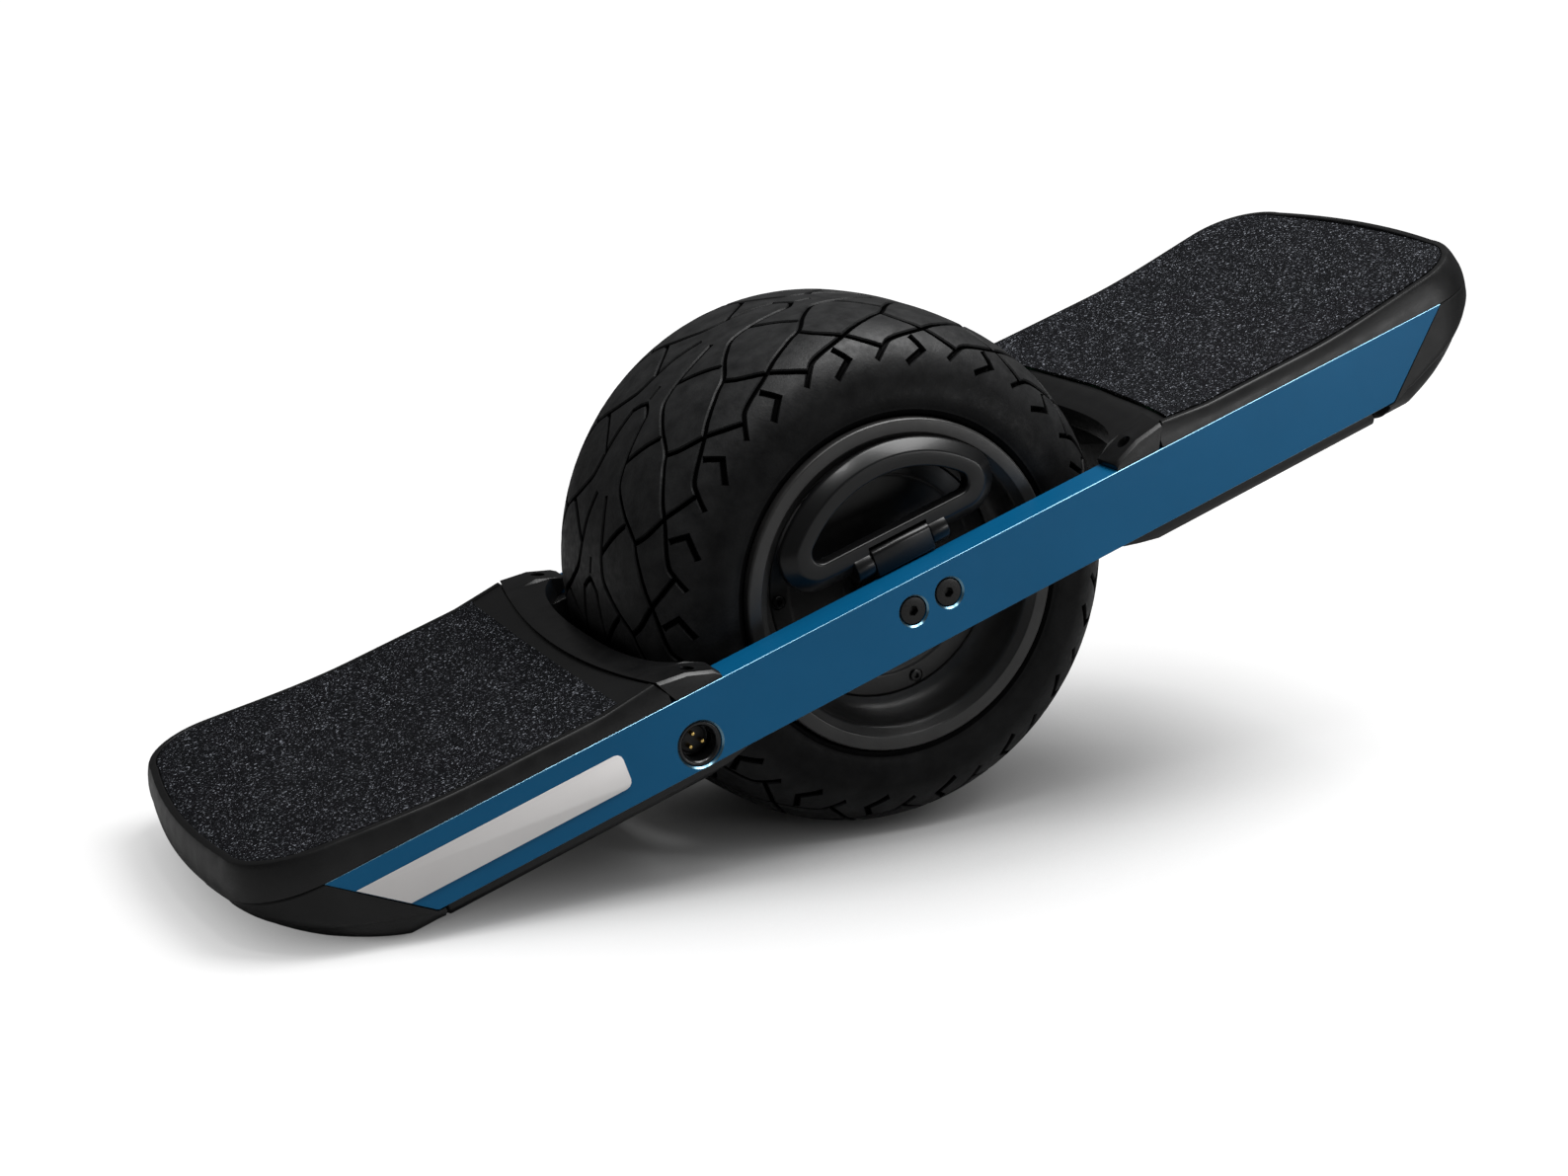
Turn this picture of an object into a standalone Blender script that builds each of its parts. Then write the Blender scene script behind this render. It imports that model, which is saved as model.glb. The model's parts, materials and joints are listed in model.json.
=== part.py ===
"""One-wheeled electric skateboard, built piece by piece as it comes apart on a bench.

Lengths are in metres and +Z is up. The board rests as it is parked: the wheel and the rear skid
touch the ground plane z = 0, and the origin is the point where the wheel touches it. In the
board's own frame, x runs from the axle towards the front end, y to the left, z square to the deck.
"""
import math

import bpy
import bmesh
from mathutils import Matrix, Vector

# Clearance kept between two pieces that rest on each other
GAP = 0.0003

# Wheel
TYRE_RADIUS = 0.144
TYRE_SIDE_GAP = 0.0130
TREAD_FLAT = 0.0150
TREAD_DEPTH = 0.0085
TREAD_REPEATS = 18
TREAD_TURN = 22.4
GROOVE_WIDTH = 0.0028
GROOVE_FLOOR = 0.0016
GROOVE_DEPTH = 0.0030
GROOVE_OVERSHOOT = 0.0018
# Groove routes: how many repeats round the tyre, and how far from its middle over the tread
LONG_GROOVE = [(0.00, 0.0089), (0.45, 0.0132), (0.86, 0.0200), (1.28, 0.0481), (1.60, 0.0573), (2.10, 0.0693),
               (2.52, 0.0790)]
CROSS_GROOVE = [(1.15, 0.0362), (1.53, 0.0144)]
SHOULDER_GROOVE = [(0.54, 0.0790), (0.90, 0.0666), (1.29, 0.0484)]
MIDDLE_GROOVE = [(0.01, 0.0092), (-0.12, 0.0), (0.01, -0.0092)]
RIM_FLANGE_RADIUS = 0.0909
RIM_FLANGE_STAND = 0.0021
RIM_SEAT_RADIUS = 0.0815
RIM_WELL_RADIUS = 0.0745
DISH_MOUTH_RADIUS = 0.0780
WHEEL_SEGMENTS = 32
SHAFT_SEGMENTS = 20

# Hub motor
HUB_COVER_RADIUS = 0.0670
HUB_COVER_THICKNESS = 0.0055
HUB_HALF_WIDTH = 0.0620
COVER_SCREW_CIRCLE = 0.0622
COVER_SCREW_COUNT = 7
COVER_SCREW_RADIUS = 0.0032
COVER_SCREW_HEIGHT = 0.0010
ROTOR_BORE_RADIUS = 0.0640
ROTOR_LEDGE_RADIUS = 0.0580
MAGNET_COUNT = 20
MAGNET_THICKNESS = 0.0030
MAGNET_SHARE = 0.85
ROTOR_RING_THICKNESS = 0.0030
MAGNET_LENGTH = 0.0600
AIR_GAP = 0.0008
TOOTH_COUNT = 18
STATOR_BORE_RADIUS = 0.0250
STATOR_YOKE_RADIUS = 0.0360
STATOR_LENGTH = 0.0500
COIL_THICKNESS = 0.0026
TOOTH_STEM = 0.0060

# Axle and bearings, a 20 x 42 x 12 mm ball bearing on each side
BEARING_BORE_RADIUS = 0.0100
BEARING_OUTER_RADIUS = 0.0210
BEARING_WIDTH = 0.0120
AXLE_END_ROOM = 0.0152
AXLE_BLOCK_LENGTH = 0.0380
AXLE_BLOCK_TOP = 0.0110
AXLE_BLOCK_BOTTOM = -0.0140
AXLE_BLOCK_CLEARANCE = 0.0030
AXLE_BOLT_SPACING = 0.0222
AXLE_BOLT_HEIGHT = -0.0014
AXLE_BOLT_HEAD_RADIUS = 0.0074
AXLE_BOLT_HEAD = 0.0058
AXLE_BOLT_SHANK_RADIUS = 0.0040
AXLE_BOLT_RECESS = 0.0070
BOLT_SEGMENTS = 14

# Rails
BOARD_WIDTH = 0.2360
RAIL_THICKNESS = 0.0198
RAIL_TOP = 0.0155
RAIL_HEIGHT = 0.0405
RAIL_TOP_LENGTH = 0.6940
RAIL_BOTTOM_LENGTH = 0.6030

# How the parked board leans: its rear end is on the ground. The axle is a little behind its middle
TILT = math.radians(20.2)
MIDDLE_X = 0.0025

# Deck ends, the same moulding front and rear. Their lip is set in from the bumper's widest line
DECK_LENGTH = 0.7860
DECK_THICKNESS = 0.0100
DECK_KICK = 0.0095
DECK_KICK_START = 0.2550
DECK_DISH = 0.0025
DECK_COLUMNS = 6
LIP_END_INSET = 0.0055
LIP_SIDE_INSET = 0.0025
LIP_WIDTH = 0.0045
RISE_SETBACK = 0.0180
RISE_LENGTH = 0.0350
FENDER_RISE = 0.0036
CORNER_RADIUS = 0.0430
END_BOW = 0.0060
PARTING_RADIUS = 0.5120
PARTING_SLANT = 0.55
GRIP_SETBACK = 0.0076
GRIP_THICKNESS = 0.0008
SENSOR_THICKNESS = 0.0003
SENSOR_MARGIN = 0.0120
SKID_START = 0.0600
SKID_ROUND = 0.0160

# Fender trims beside the wheel, with an ear that slopes down to a tip on each rail
FENDER_CLEARANCE = 0.0075
FENDER_WIDTH = 0.0189
FENDER_ARCH_DEPTH = 0.0145
FENDER_SLOPE = 0.16
EAR_TIP_X = 0.1237
EAR_TIP_HEIGHT = 0.0028
EAR_BREAK_X = 0.1405
EAR_BREAK_HEIGHT = 0.0105
EAR_FRONT_X = 0.1270
EAR_FRONT_HEIGHT = 0.0052
TRIM_SCREW_X = 0.1370
TRIM_SCREW_INSET = 0.0107

# Boxes that hang between the rails
BOX_DROP = 0.0130
BOX_WALL = 0.0030
BOX_WHEEL_CLEARANCE = 0.0140
BOX_ARM_TIP = 0.1190
BOX_ARM_HEEL = 0.1430
BOX_ARM_LIFT = 0.0065
BOX_ARM_THICKNESS = 0.0092
BOX_SKIRT = 0.0070
BOX_LID_THICKNESS = 0.0032

# Battery and electronics
CELL_RADIUS = 0.0092
PACK_END_ROOM = 0.0027
CELLS_ACROSS = 9
CELL_LAYERS = 2
BOARD_THICKNESS = 0.0016
CONTROLLER_END_ROOM = 0.0185
CONTROLLER_WIDTH = 0.1200
CONTROLLER_SETBACK = 0.0150
HEAT_SINK_HEIGHT = 0.0200
BATTERY_BOARD_LENGTH = 0.0800
BATTERY_BOARD_WIDTH = 0.1000
BATTERY_BOARD_SETBACK = 0.0100

# End lights
LIGHT_WIDTH = 0.0900
LIGHT_HEIGHT = 0.0050
LIGHT_DEPTH = 0.0080
LIGHT_LEVEL = 0.0115

# Charge port in the right rail, power button in the left rail
PORT_X = -0.1444
PORT_Z = -0.0120
PORT_RADIUS = 0.0118
PORT_BORE_RADIUS = 0.0092
PORT_DEPTH = 0.0120
PORT_RECESS = 0.0012
PIN_RADIUS = 0.0011
PIN_CIRCLE = 0.0040
PIN_LENGTH = 0.0060
PIN_CARRIER = 0.0015
BUTTON_RADIUS = 0.0060
BUTTON_TRAVEL = 0.0010
BUTTON_COLLAR = 0.0025

# Carry handle on the right side
HANDLE_X = 0.0020
HINGE_STAND = 0.0047
HINGE_Z = 0.0240
BARREL_RADIUS = 0.0065
BARREL_LENGTH = 0.0354
KNUCKLE_LENGTH = 0.0105
HINGE_PIN_RADIUS = 0.0020
LOOP_RADIUS = 0.0810
LOOP_BAR = 0.0150
LOOP_BOTTOM = 0.0252
LOOP_CORNER = 0.0190
LOOP_THICKNESS = 0.0094
LOOP_CHAMFER = 0.0030
HANDLE_MAGNET_RADIUS = 0.0040
HANDLE_MAGNET_THICKNESS = 0.0025

# Motor lead in the gap between the tyre and the left rail
LEAD_RADIUS = 0.0035
LEAD_LEVEL = -0.0040
LEAD_SAG = 0.0040
GLAND_LENGTH = 0.0060
GLAND_WALL = 0.0020

# Bare plate on the right rail, and small screws
PLATE_THICKNESS = 0.0005
PLATE_MARGIN = 0.0008
PLATE_START = 0.1850
PLATE_TOP = 0.0049
PLATE_BOTTOM = -0.0145
SMALL_SCREW_RADIUS = 0.0020
SMALL_SCREW_HEAD = 0.0036
SMALL_SCREW_HEAD_HEIGHT = 0.0028
FENDER_SCREW_GRIP = 0.0100
BUMPER_SCREW_SINK = 0.0050
BUMPER_SCREW_BITE = 0.0035
BUMPER_SCREW_SETBACK = 0.0325
BUMPER_SCREW_INSET = 0.0400

# Levels and places that follow from the sizes above
HALF_WIDTH = BOARD_WIDTH / 2
RAIL_INNER = HALF_WIDTH - RAIL_THICKNESS
TYRE_HALF_WIDTH = RAIL_INNER - TYRE_SIDE_GAP
RIM_HALF_WIDTH = TYRE_HALF_WIDTH + RIM_FLANGE_STAND
AXLE_HALF_LENGTH = RAIL_INNER - AXLE_END_ROOM
HINGE_Y = -(RIM_HALF_WIDTH + HINGE_STAND)
TRIM_SCREW_Y = HALF_WIDTH - TRIM_SCREW_INSET
BUMPER_SCREW_Y = HALF_WIDTH - BUMPER_SCREW_INSET
FENDER_ARCH_X = TYRE_RADIUS + FENDER_CLEARANCE
PARTING_X = FENDER_ARCH_X + FENDER_WIDTH
GRIP_START = PARTING_X + GRIP_SETBACK
RISE_FOOT = PARTING_X + RISE_SETBACK
RAIL_BOTTOM = RAIL_TOP - RAIL_HEIGHT
RAIL_SLANT = (RAIL_TOP_LENGTH - RAIL_BOTTOM_LENGTH) / 2 / RAIL_HEIGHT
BOX_BOTTOM = RAIL_BOTTOM - BOX_DROP
BOX_TOP = RAIL_TOP - GAP - BOX_LID_THICKNESS - GAP
BOX_END = RAIL_BOTTOM_LENGTH / 2 - 0.0040
BOX_WHEEL_SIDE = TYRE_RADIUS + BOX_WHEEL_CLEARANCE
TRAY_START = BOX_WHEEL_SIDE + BOX_WALL
TRAY_END = BOX_END - BOX_WALL
CONTROLLER_LENGTH = TRAY_END - CONTROLLER_END_ROOM - CONTROLLER_SETBACK - TRAY_START
BUMPER_SCREW_X = BOX_END + BUMPER_SCREW_SETBACK
BOX_HALF_WIDTH = RAIL_INNER - GAP
DECK_BOTTOM = RAIL_TOP + GAP
DECK_HALF_LENGTH = DECK_LENGTH / 2
BLOCK_INNER = HUB_HALF_WIDTH + AXLE_BLOCK_CLEARANCE
BLOCK_OUTER = RAIL_INNER - GAP
LOOP_BACK = -(RIM_HALF_WIDTH + 3 * GAP)

PLASTIC = ("black_plastic", (0.030, 0.030, 0.032), 0.50, 0.0)
SIDE_PLASTIC = ("bumper_plastic", (0.045, 0.046, 0.045), 0.45, 0.0)
BLUE = ("blue_anodised", (0.012, 0.085, 0.180), 0.35, 0.6)
RUBBER = ("tyre_rubber", (0.022, 0.022, 0.023), 0.70, 0.0)
DARK_METAL = ("dark_metal", (0.070, 0.070, 0.072), 0.38, 0.8)
GRIP = ("grip_tape", (0.035, 0.036, 0.040), 0.95, 0.0)
BLACK_STEEL = ("black_steel", (0.020, 0.020, 0.021), 0.40, 0.9)
BRIGHT_STEEL = ("bright_steel", (0.55, 0.56, 0.57), 0.30, 1.0)
COPPER = ("copper_wire", (0.55, 0.22, 0.09), 0.40, 1.0)
CELL_WRAP = ("cell_wrap", (0.10, 0.28, 0.20), 0.50, 0.0)
BOARD_GREEN = ("circuit_board", (0.02, 0.16, 0.07), 0.55, 0.0)
SILVER = ("silver_plate", (0.58, 0.56, 0.55), 0.35, 0.3)
SMOKED = ("smoked_lens", (0.012, 0.012, 0.014), 0.12, 0.0)
GOLD = ("gold_pin", (0.80, 0.58, 0.22), 0.25, 1.0)
GLOSS_BLACK = ("gloss_black", (0.016, 0.016, 0.017), 0.22, 0.0)


def clear_scene():
    for item in list(bpy.data.objects):
        bpy.data.objects.remove(item, do_unlink=True)


def make_collection(name):
    collection = bpy.data.collections.new(name)
    bpy.context.scene.collection.children.link(collection)
    return collection


def make_material(finish):
    """The material of a finish: name, colour, roughness, metallic value."""
    name, colour, roughness, metallic = finish
    if name in bpy.data.materials:
        return bpy.data.materials[name]
    material = bpy.data.materials.new(name)
    material.use_nodes = True
    shader = material.node_tree.nodes["Principled BSDF"]
    shader.inputs["Base Color"].default_value = (*colour, 1.0)
    shader.inputs["Roughness"].default_value = roughness
    shader.inputs["Metallic"].default_value = metallic
    return material


def add_piece(name, mesh, finish, parent, location=(0, 0, 0), rotation=(0, 0, 0)):
    """A part of the board: its mesh, its finish and its place in its parent's frame."""
    piece = bpy.data.objects.new(name, mesh)
    PARTS.objects.link(piece)
    piece.parent = parent
    piece.location = location
    piece.rotation_euler = rotation
    mesh.materials.clear()
    mesh.materials.append(make_material(finish))
    mesh.shade_smooth()
    mesh.set_sharp_from_angle(angle=math.radians(30))
    return piece


def add_cutter(name, mesh, parent, location=(0, 0, 0), rotation=(0, 0, 0)):
    """A shape that only cuts or joins others."""
    cutter = bpy.data.objects.new(name, mesh)
    CUTTERS.objects.link(cutter)
    cutter.parent = parent
    cutter.location = location
    cutter.rotation_euler = rotation
    cutter.hide_render = True
    cutter.display_type = 'WIRE'
    return cutter


def add_empty(name, parent=None, location=(0, 0, 0), rotation=(0, 0, 0)):
    empty = bpy.data.objects.new(name, None)
    PARTS.objects.link(empty)
    empty.parent = parent
    empty.location = location
    empty.rotation_euler = rotation
    return empty


def boolean(piece, cutter, operation='DIFFERENCE'):
    modifier = piece.modifiers.new(operation.lower(), 'BOOLEAN')
    modifier.operation = operation
    modifier.object = cutter


def bevel(piece, width, segments=1, angle=30):
    modifier = piece.modifiers.new("edges", 'BEVEL')
    modifier.width = width
    modifier.segments = segments
    modifier.limit_method = 'ANGLE'
    modifier.angle_limit = math.radians(angle)


def block_mesh(name, low, high):
    """A box between two corners."""
    shape = bmesh.new()
    bmesh.ops.create_cube(shape, size=1.0)
    size = [b - a for a, b in zip(low, high)]
    centre = [(a + b) / 2 for a, b in zip(low, high)]
    bmesh.ops.scale(shape, vec=size, verts=shape.verts)
    bmesh.ops.translate(shape, vec=centre, verts=shape.verts)
    mesh = bpy.data.meshes.new(name)
    shape.to_mesh(mesh)
    shape.free()
    return mesh


def rod_mesh(name, radius, start, end, axis='Z', segments=12, flat_side=False):
    """A cylinder along one axis, from start to end along it."""
    shape = bmesh.new()
    bmesh.ops.create_cone(shape, cap_ends=True, segments=segments, radius1=radius, radius2=radius,
                          depth=end - start)
    if flat_side:
        bmesh.ops.rotate(shape, matrix=Matrix.Rotation(math.pi / segments, 3, 'Z'), verts=shape.verts)
    bmesh.ops.translate(shape, vec=(0, 0, (start + end) / 2), verts=shape.verts)
    if axis == 'X':
        bmesh.ops.rotate(shape, matrix=Matrix.Rotation(math.pi / 2, 3, 'Y'), verts=shape.verts)
    if axis == 'Y':
        bmesh.ops.rotate(shape, matrix=Matrix.Rotation(-math.pi / 2, 3, 'X'), verts=shape.verts)
    mesh = bpy.data.meshes.new(name)
    shape.to_mesh(mesh)
    shape.free()
    return mesh


def profile_mesh(name, points, closed=True):
    """A turned shape's profile: radius along x, height along z."""
    edges = [(i, i + 1) for i in range(len(points) - 1)]
    if closed:
        edges.append((len(points) - 1, 0))
    mesh = bpy.data.meshes.new(name)
    mesh.from_pydata([(radius, 0, height) for radius, height in points], edges, [])
    return mesh


def turn(piece, segments):
    """Turn a profile about its z axis."""
    modifier = piece.modifiers.new("turn", 'SCREW')
    modifier.angle = 2 * math.pi
    modifier.steps = segments
    modifier.render_steps = segments
    modifier.use_merge_vertices = True
    modifier.merge_threshold = 0.00001


def both_sides(half):
    """A closed profile from its upper half, which starts at the outer middle."""
    return half[::-1] + [(radius, -height) for radius, height in half]


def turned_about_axle(name, points, finish, parent, segments=WHEEL_SEGMENTS, closed=True):
    """A turned piece whose axis is the axle, with a flat of its outline facing the ground."""
    piece = add_piece(name, profile_mesh(name, points, closed), finish, parent)
    half_step = Matrix.Rotation(math.pi / segments, 3, 'Z')
    piece.rotation_euler = (Matrix.Rotation(-math.pi / 2, 3, 'X') @ half_step).to_euler()
    turn(piece, segments)
    return piece


def on_flats(radius, segments=SHAFT_SEGMENTS):
    """The corner radius of a polygon whose flats are at this radius."""
    return radius / math.cos(math.pi / segments)


def outline_mesh(name, loops, low, high):
    """A flat outline in the x-y plane, with any holes, between two heights."""
    curve = bpy.data.curves.new(name, 'CURVE')
    curve.dimensions = '2D'
    curve.fill_mode = 'BOTH'
    curve.extrude = (high - low) / 2
    for loop in loops:
        spline = curve.splines.new('POLY')
        spline.points.add(len(loop) - 1)
        spline.use_cyclic_u = True
        for point, (x, y) in zip(spline.points, loop):
            point.co = (x, y, 0, 1)
    holder = bpy.data.objects.new(name, curve)
    CUTTERS.objects.link(holder)
    graph = bpy.context.evaluated_depsgraph_get()
    mesh = bpy.data.meshes.new_from_object(holder.evaluated_get(graph))
    bpy.data.objects.remove(holder, do_unlink=True)
    shape = bmesh.new()
    shape.from_mesh(mesh)
    bmesh.ops.remove_doubles(shape, verts=shape.verts, dist=0.000001)
    bmesh.ops.translate(shape, vec=(0, 0, (low + high) / 2), verts=shape.verts)
    bmesh.ops.recalc_face_normals(shape, faces=shape.faces)
    shape.to_mesh(mesh)
    shape.free()
    return mesh


def side_outline_mesh(name, loops, low, high):
    """A flat outline in the x-z plane, between two values of y."""
    mesh = outline_mesh(name, loops, -high, -low)
    mesh.transform(Matrix.Rotation(math.pi / 2, 4, 'X'))
    return mesh


def arc(centre, radius, start, end, steps):
    """Points along an arc, angles in degrees."""
    points = []
    for i in range(steps + 1):
        angle = math.radians(start + (end - start) * i / steps)
        points.append((centre[0] + radius * math.cos(angle), centre[1] + radius * math.sin(angle)))
    return points


def ease(t):
    """A smooth step from 0 to 1."""
    t = min(max(t, 0.0), 1.0)
    return t * t * (3 - 2 * t)


def loft_mesh(name, sections):
    """A skin through closed sections of equally many points, capped at both ends."""
    shape = bmesh.new()
    rings = [[shape.verts.new(point) for point in section] for section in sections]
    count = len(rings[0])
    for ring, following in zip(rings, rings[1:]):
        for i in range(count):
            j = (i + 1) % count
            shape.faces.new((ring[i], ring[j], following[j], following[i]))
    shape.faces.new(rings[0])
    shape.faces.new(rings[-1])
    bmesh.ops.recalc_face_normals(shape, faces=shape.faces)
    mesh = bpy.data.meshes.new(name)
    shape.to_mesh(mesh)
    shape.free()
    return mesh


def deck_stations(inner_x, corner_x, kick_steps=4):
    """Places along a deck's side: its wheel side, the foot of the rise there, then up the kick."""
    rise = (corner_x - DECK_KICK_START) / kick_steps
    return [inner_x, RISE_FOOT] + [DECK_KICK_START + rise * i for i in range(kick_steps)]


def bumper_stations(inner_x, corner_x):
    """Places along a bumper's side."""
    return [inner_x, (inner_x + corner_x) / 2]


def end_outline(stations, inner_x, outer_x, half_width, corner_radius, corner_steps=4):
    """Half of a deck end's plan, from its right side round to the middle of the end."""
    corner_x = outer_x - END_BOW - corner_radius
    points = [(x, -half_width) for x in stations(inner_x, corner_x)]
    points += arc((corner_x, corner_radius - half_width), corner_radius, -90, 0, corner_steps)
    straight = half_width - corner_radius
    for y in (-straight / 2, 0.0):
        points.append((outer_x - END_BOW * (y / straight) ** 2, y))
    return points


def end_mesh(name, rings, columns, bottom, top):
    """A deck end's solid: rings of its plan from bottom to top, closed by strips across the board.

    Each ring is (outline, level), where level gives the height at a place. bottom and top give
    the height inside the lowest and the highest ring.
    """
    shape = bmesh.new()
    loops = []
    for outline, level in rings:
        full = outline + [(x, -y) for x, y in outline[-2::-1]]
        loops.append([shape.verts.new((x, y, level(x, y))) for x, y in full])
    count = len(loops[0])
    middle = count // 2
    for loop, following in zip(loops, loops[1:]):
        for i in range(count - 1):
            shape.faces.new((loop[i], loop[i + 1], following[i + 1], following[i]))

    def rows(loop, surface, splits):
        strips = []
        for i in range(middle):
            near, far = loop[i], loop[count - 1 - i]
            row = [near]
            for k in range(1, splits):
                x, y = near.co.lerp(far.co, k / splits).xy
                row.append(shape.verts.new((x, y, surface(x, y))))
            strips.append(row + [far])
        for row, following in zip(strips, strips[1:]):
            for a, b, c, d in zip(row, row[1:], following[1:], following):
                shape.faces.new((a, b, c, d))
        for a, b in zip(strips[-1], strips[-1][1:]):
            shape.faces.new((a, b, loop[middle]))
        return strips[0]

    lower = rows(loops[0], bottom, 1)
    upper = rows(loops[-1], top, columns)
    left = [loop[0] for loop in loops[1:-1]]
    right = [loop[-1] for loop in loops[1:-1]]
    shape.faces.new(lower[:1] + left + upper + right[::-1] + lower[:0:-1])
    bmesh.ops.recalc_face_normals(shape, faces=shape.faces)
    mesh = bpy.data.meshes.new(name)
    shape.to_mesh(mesh)
    shape.free()
    return mesh


def deck_level(x, y=None):
    """Height of the moulded deck under the grip tape."""
    level = RAIL_TOP + DECK_THICKNESS - GRIP_THICKNESS
    level += FENDER_RISE * min(max((RISE_FOOT - x) / RISE_LENGTH, 0.0), 1.0)
    level += DECK_KICK * ease((x - DECK_KICK_START) / (DECK_HALF_LENGTH - DECK_KICK_START - 0.004))
    if y is not None:
        level -= DECK_DISH * (1 - (y / HALF_WIDTH) ** 2)
    return level


def ground_level(x):
    """The parked board's ground, in the frame of the end that touches it."""
    return ((x - MIDDLE_X) * math.sin(TILT) - TYRE_RADIUS) / math.cos(TILT)


def skid_level(x):
    """Height of an end's underside: level with the boxes, then up along the ground."""
    return max(BOX_BOTTOM, ground_level(x))


def skirt_level(x):
    """Lower edge of an end's upright side, from the rail's lower corner up towards the end."""
    slope = math.tan(TILT) * 1.16
    return min(RAIL_BOTTOM - GAP + slope * (x - RAIL_BOTTOM_LENGTH / 2), RAIL_TOP - 0.0045)


def arch_x(y):
    """Wheel side of a fender trim, seen from above."""
    return FENDER_ARCH_X - FENDER_ARCH_DEPTH * abs(y / RAIL_INNER) ** 3


def parting_x(y):
    """The joint between a fender trim and the deck at the deck's lip, seen from above."""
    return PARTING_X - PARTING_RADIUS + math.sqrt(PARTING_RADIUS ** 2 - y ** 2)


def parting_drop(x, y):
    """How far the joint has moved towards the wheel at the deck's underside."""
    return PARTING_SLANT * (deck_level(x, y) - DECK_BOTTOM)


def tyre_shoulder(outer):
    """The tyre's outside from the edge of the flat tread to the sidewall, with this radius at the tread."""
    half = TYRE_HALF_WIDTH
    return [
        (outer, TREAD_FLAT),
        (outer - 0.0013, half * 0.440),
        (outer - 0.0050, half * 0.681),
        (outer - 0.0108, half * 0.798),
        (outer - 0.0170, half * 0.892),
        (outer - 0.0268, half * 0.962),
        (outer - 0.0390, half),
    ]


def make_tyre(wheel):
    outer = on_flats(TYRE_RADIUS, WHEEL_SEGMENTS)
    half = TYRE_HALF_WIDTH
    flange = RIM_FLANGE_RADIUS
    seat = RIM_SEAT_RADIUS + GAP
    bead = RIM_HALF_WIDTH - 0.0058 - GAP
    wall = TREAD_DEPTH
    profile = tyre_shoulder(outer) + [
        (flange + 0.0050, half - 0.0004),
        (flange - 0.0016, bead),
        (seat, bead - 0.0012),
        (seat, bead - 0.0130),
        (flange, bead - 0.0130),
        (outer - 0.0390, half - wall * 1.1),
        (outer - wall - 0.0130, half * 0.800),
        (outer - wall, half * 0.40),
    ]
    tyre = turned_about_axle("tyre", both_sides(profile), RUBBER, wheel)
    for name, routes in (("long_grooves", [LONG_GROOVE]),
                         ("short_grooves", [CROSS_GROOVE, SHOULDER_GROOVE, MIDDLE_GROOVE])):
        boolean(tyre, add_cutter(name, grooves_mesh(name, routes), wheel))
    return tyre


def over_tread(distance):
    """Radius, width and outward slope of the tyre this far from its middle, along the tread."""
    corners = [Vector((TYRE_RADIUS, 0))] + [Vector(corner) for corner in tyre_shoulder(TYRE_RADIUS)]
    spans = [(end - start).normalized() for start, end in zip(corners, corners[1:])]
    at_corners = [a + b for a, b in zip(spans[:1] + spans, spans + spans[-1:])]
    left = abs(distance)
    for i, (start, end) in enumerate(zip(corners, corners[1:])):
        run = (end - start).length
        if left <= run or end == corners[-1]:
            break
        left -= run
    place = start.lerp(end, left / run)
    slope = at_corners[i].normalized().lerp(at_corners[i + 1].normalized(), left / run).normalized()
    side = math.copysign(1, distance)
    return place.x, place.y * side, (slope.y, -slope.x * side)


def groove_mesh(name, route, first, side):
    """A bar along one groove: wide above the tread, narrower at the groove's floor."""
    pitch = 2 * math.pi / TREAD_REPEATS
    sections = []
    for i, (turns, distance) in enumerate(route):
        before, after = route[max(i - 1, 0)], route[min(i + 1, len(route) - 1)]
        run = Vector(((after[0] - before[0]) * pitch * TYRE_RADIUS, after[1] - before[1])).normalized()
        section = []
        for half, lift in ((GROOVE_WIDTH / 2, GROOVE_OVERSHOOT), (GROOVE_FLOOR / 2, -GROOVE_DEPTH),
                           (-GROOVE_FLOOR / 2, -GROOVE_DEPTH), (-GROOVE_WIDTH / 2, GROOVE_OVERSHOOT)):
            angle = math.radians(TREAD_TURN) + (turns + first) * pitch + run.y * half / TYRE_RADIUS
            radius, across, outward = over_tread(distance - run.x * half)
            radius += outward[0] * lift
            across = (across + outward[1] * lift) * side
            section.append((radius * math.cos(angle), across, radius * math.sin(angle)))
        sections.append(section)
    return loft_mesh(name, sections)


def grooves_mesh(name, routes):
    """These grooves all round the tyre and on both sides of it. The middle ones stand at every second repeat."""
    grooves = []
    for route in routes:
        in_middle = route[-1][1] < 0
        for first in range(0, TREAD_REPEATS, 2 if in_middle else 1):
            for side in (1,) if in_middle else (1, -1):
                grooves.append(groove_mesh(name, route, first, side))
    return joined_mesh(name, grooves)


def make_rim(wheel):
    half = RIM_HALF_WIDTH
    rebate = HUB_HALF_WIDTH - HUB_COVER_THICKNESS - GAP
    profile = [
        (RIM_WELL_RADIUS, half - 0.0270),
        (RIM_SEAT_RADIUS, half - 0.0200),
        (RIM_SEAT_RADIUS, half - 0.0070),
        (RIM_FLANGE_RADIUS, half - 0.0050),
        (RIM_FLANGE_RADIUS, half - 0.0028),
        (RIM_FLANGE_RADIUS - 0.0045, half),
        (DISH_MOUTH_RADIUS + 0.0039, half),
        (DISH_MOUTH_RADIUS, half - 0.0036),
        (HUB_COVER_RADIUS + GAP, HUB_HALF_WIDTH),
        (HUB_COVER_RADIUS + GAP, rebate),
        (ROTOR_LEDGE_RADIUS, rebate),
        (ROTOR_LEDGE_RADIUS, MAGNET_LENGTH / 2 + 0.0050),
        (ROTOR_BORE_RADIUS, MAGNET_LENGTH / 2 + 0.0030),
    ]
    return turned_about_axle("rim", both_sides(profile), DARK_METAL, wheel)


def screw_places():
    """Angles of the hub cover screws, the first square down from the deck as the board is parked."""
    return [TILT + math.radians(-90 + 360 * i / COVER_SCREW_COUNT) for i in range(COVER_SCREW_COUNT)]


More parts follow.
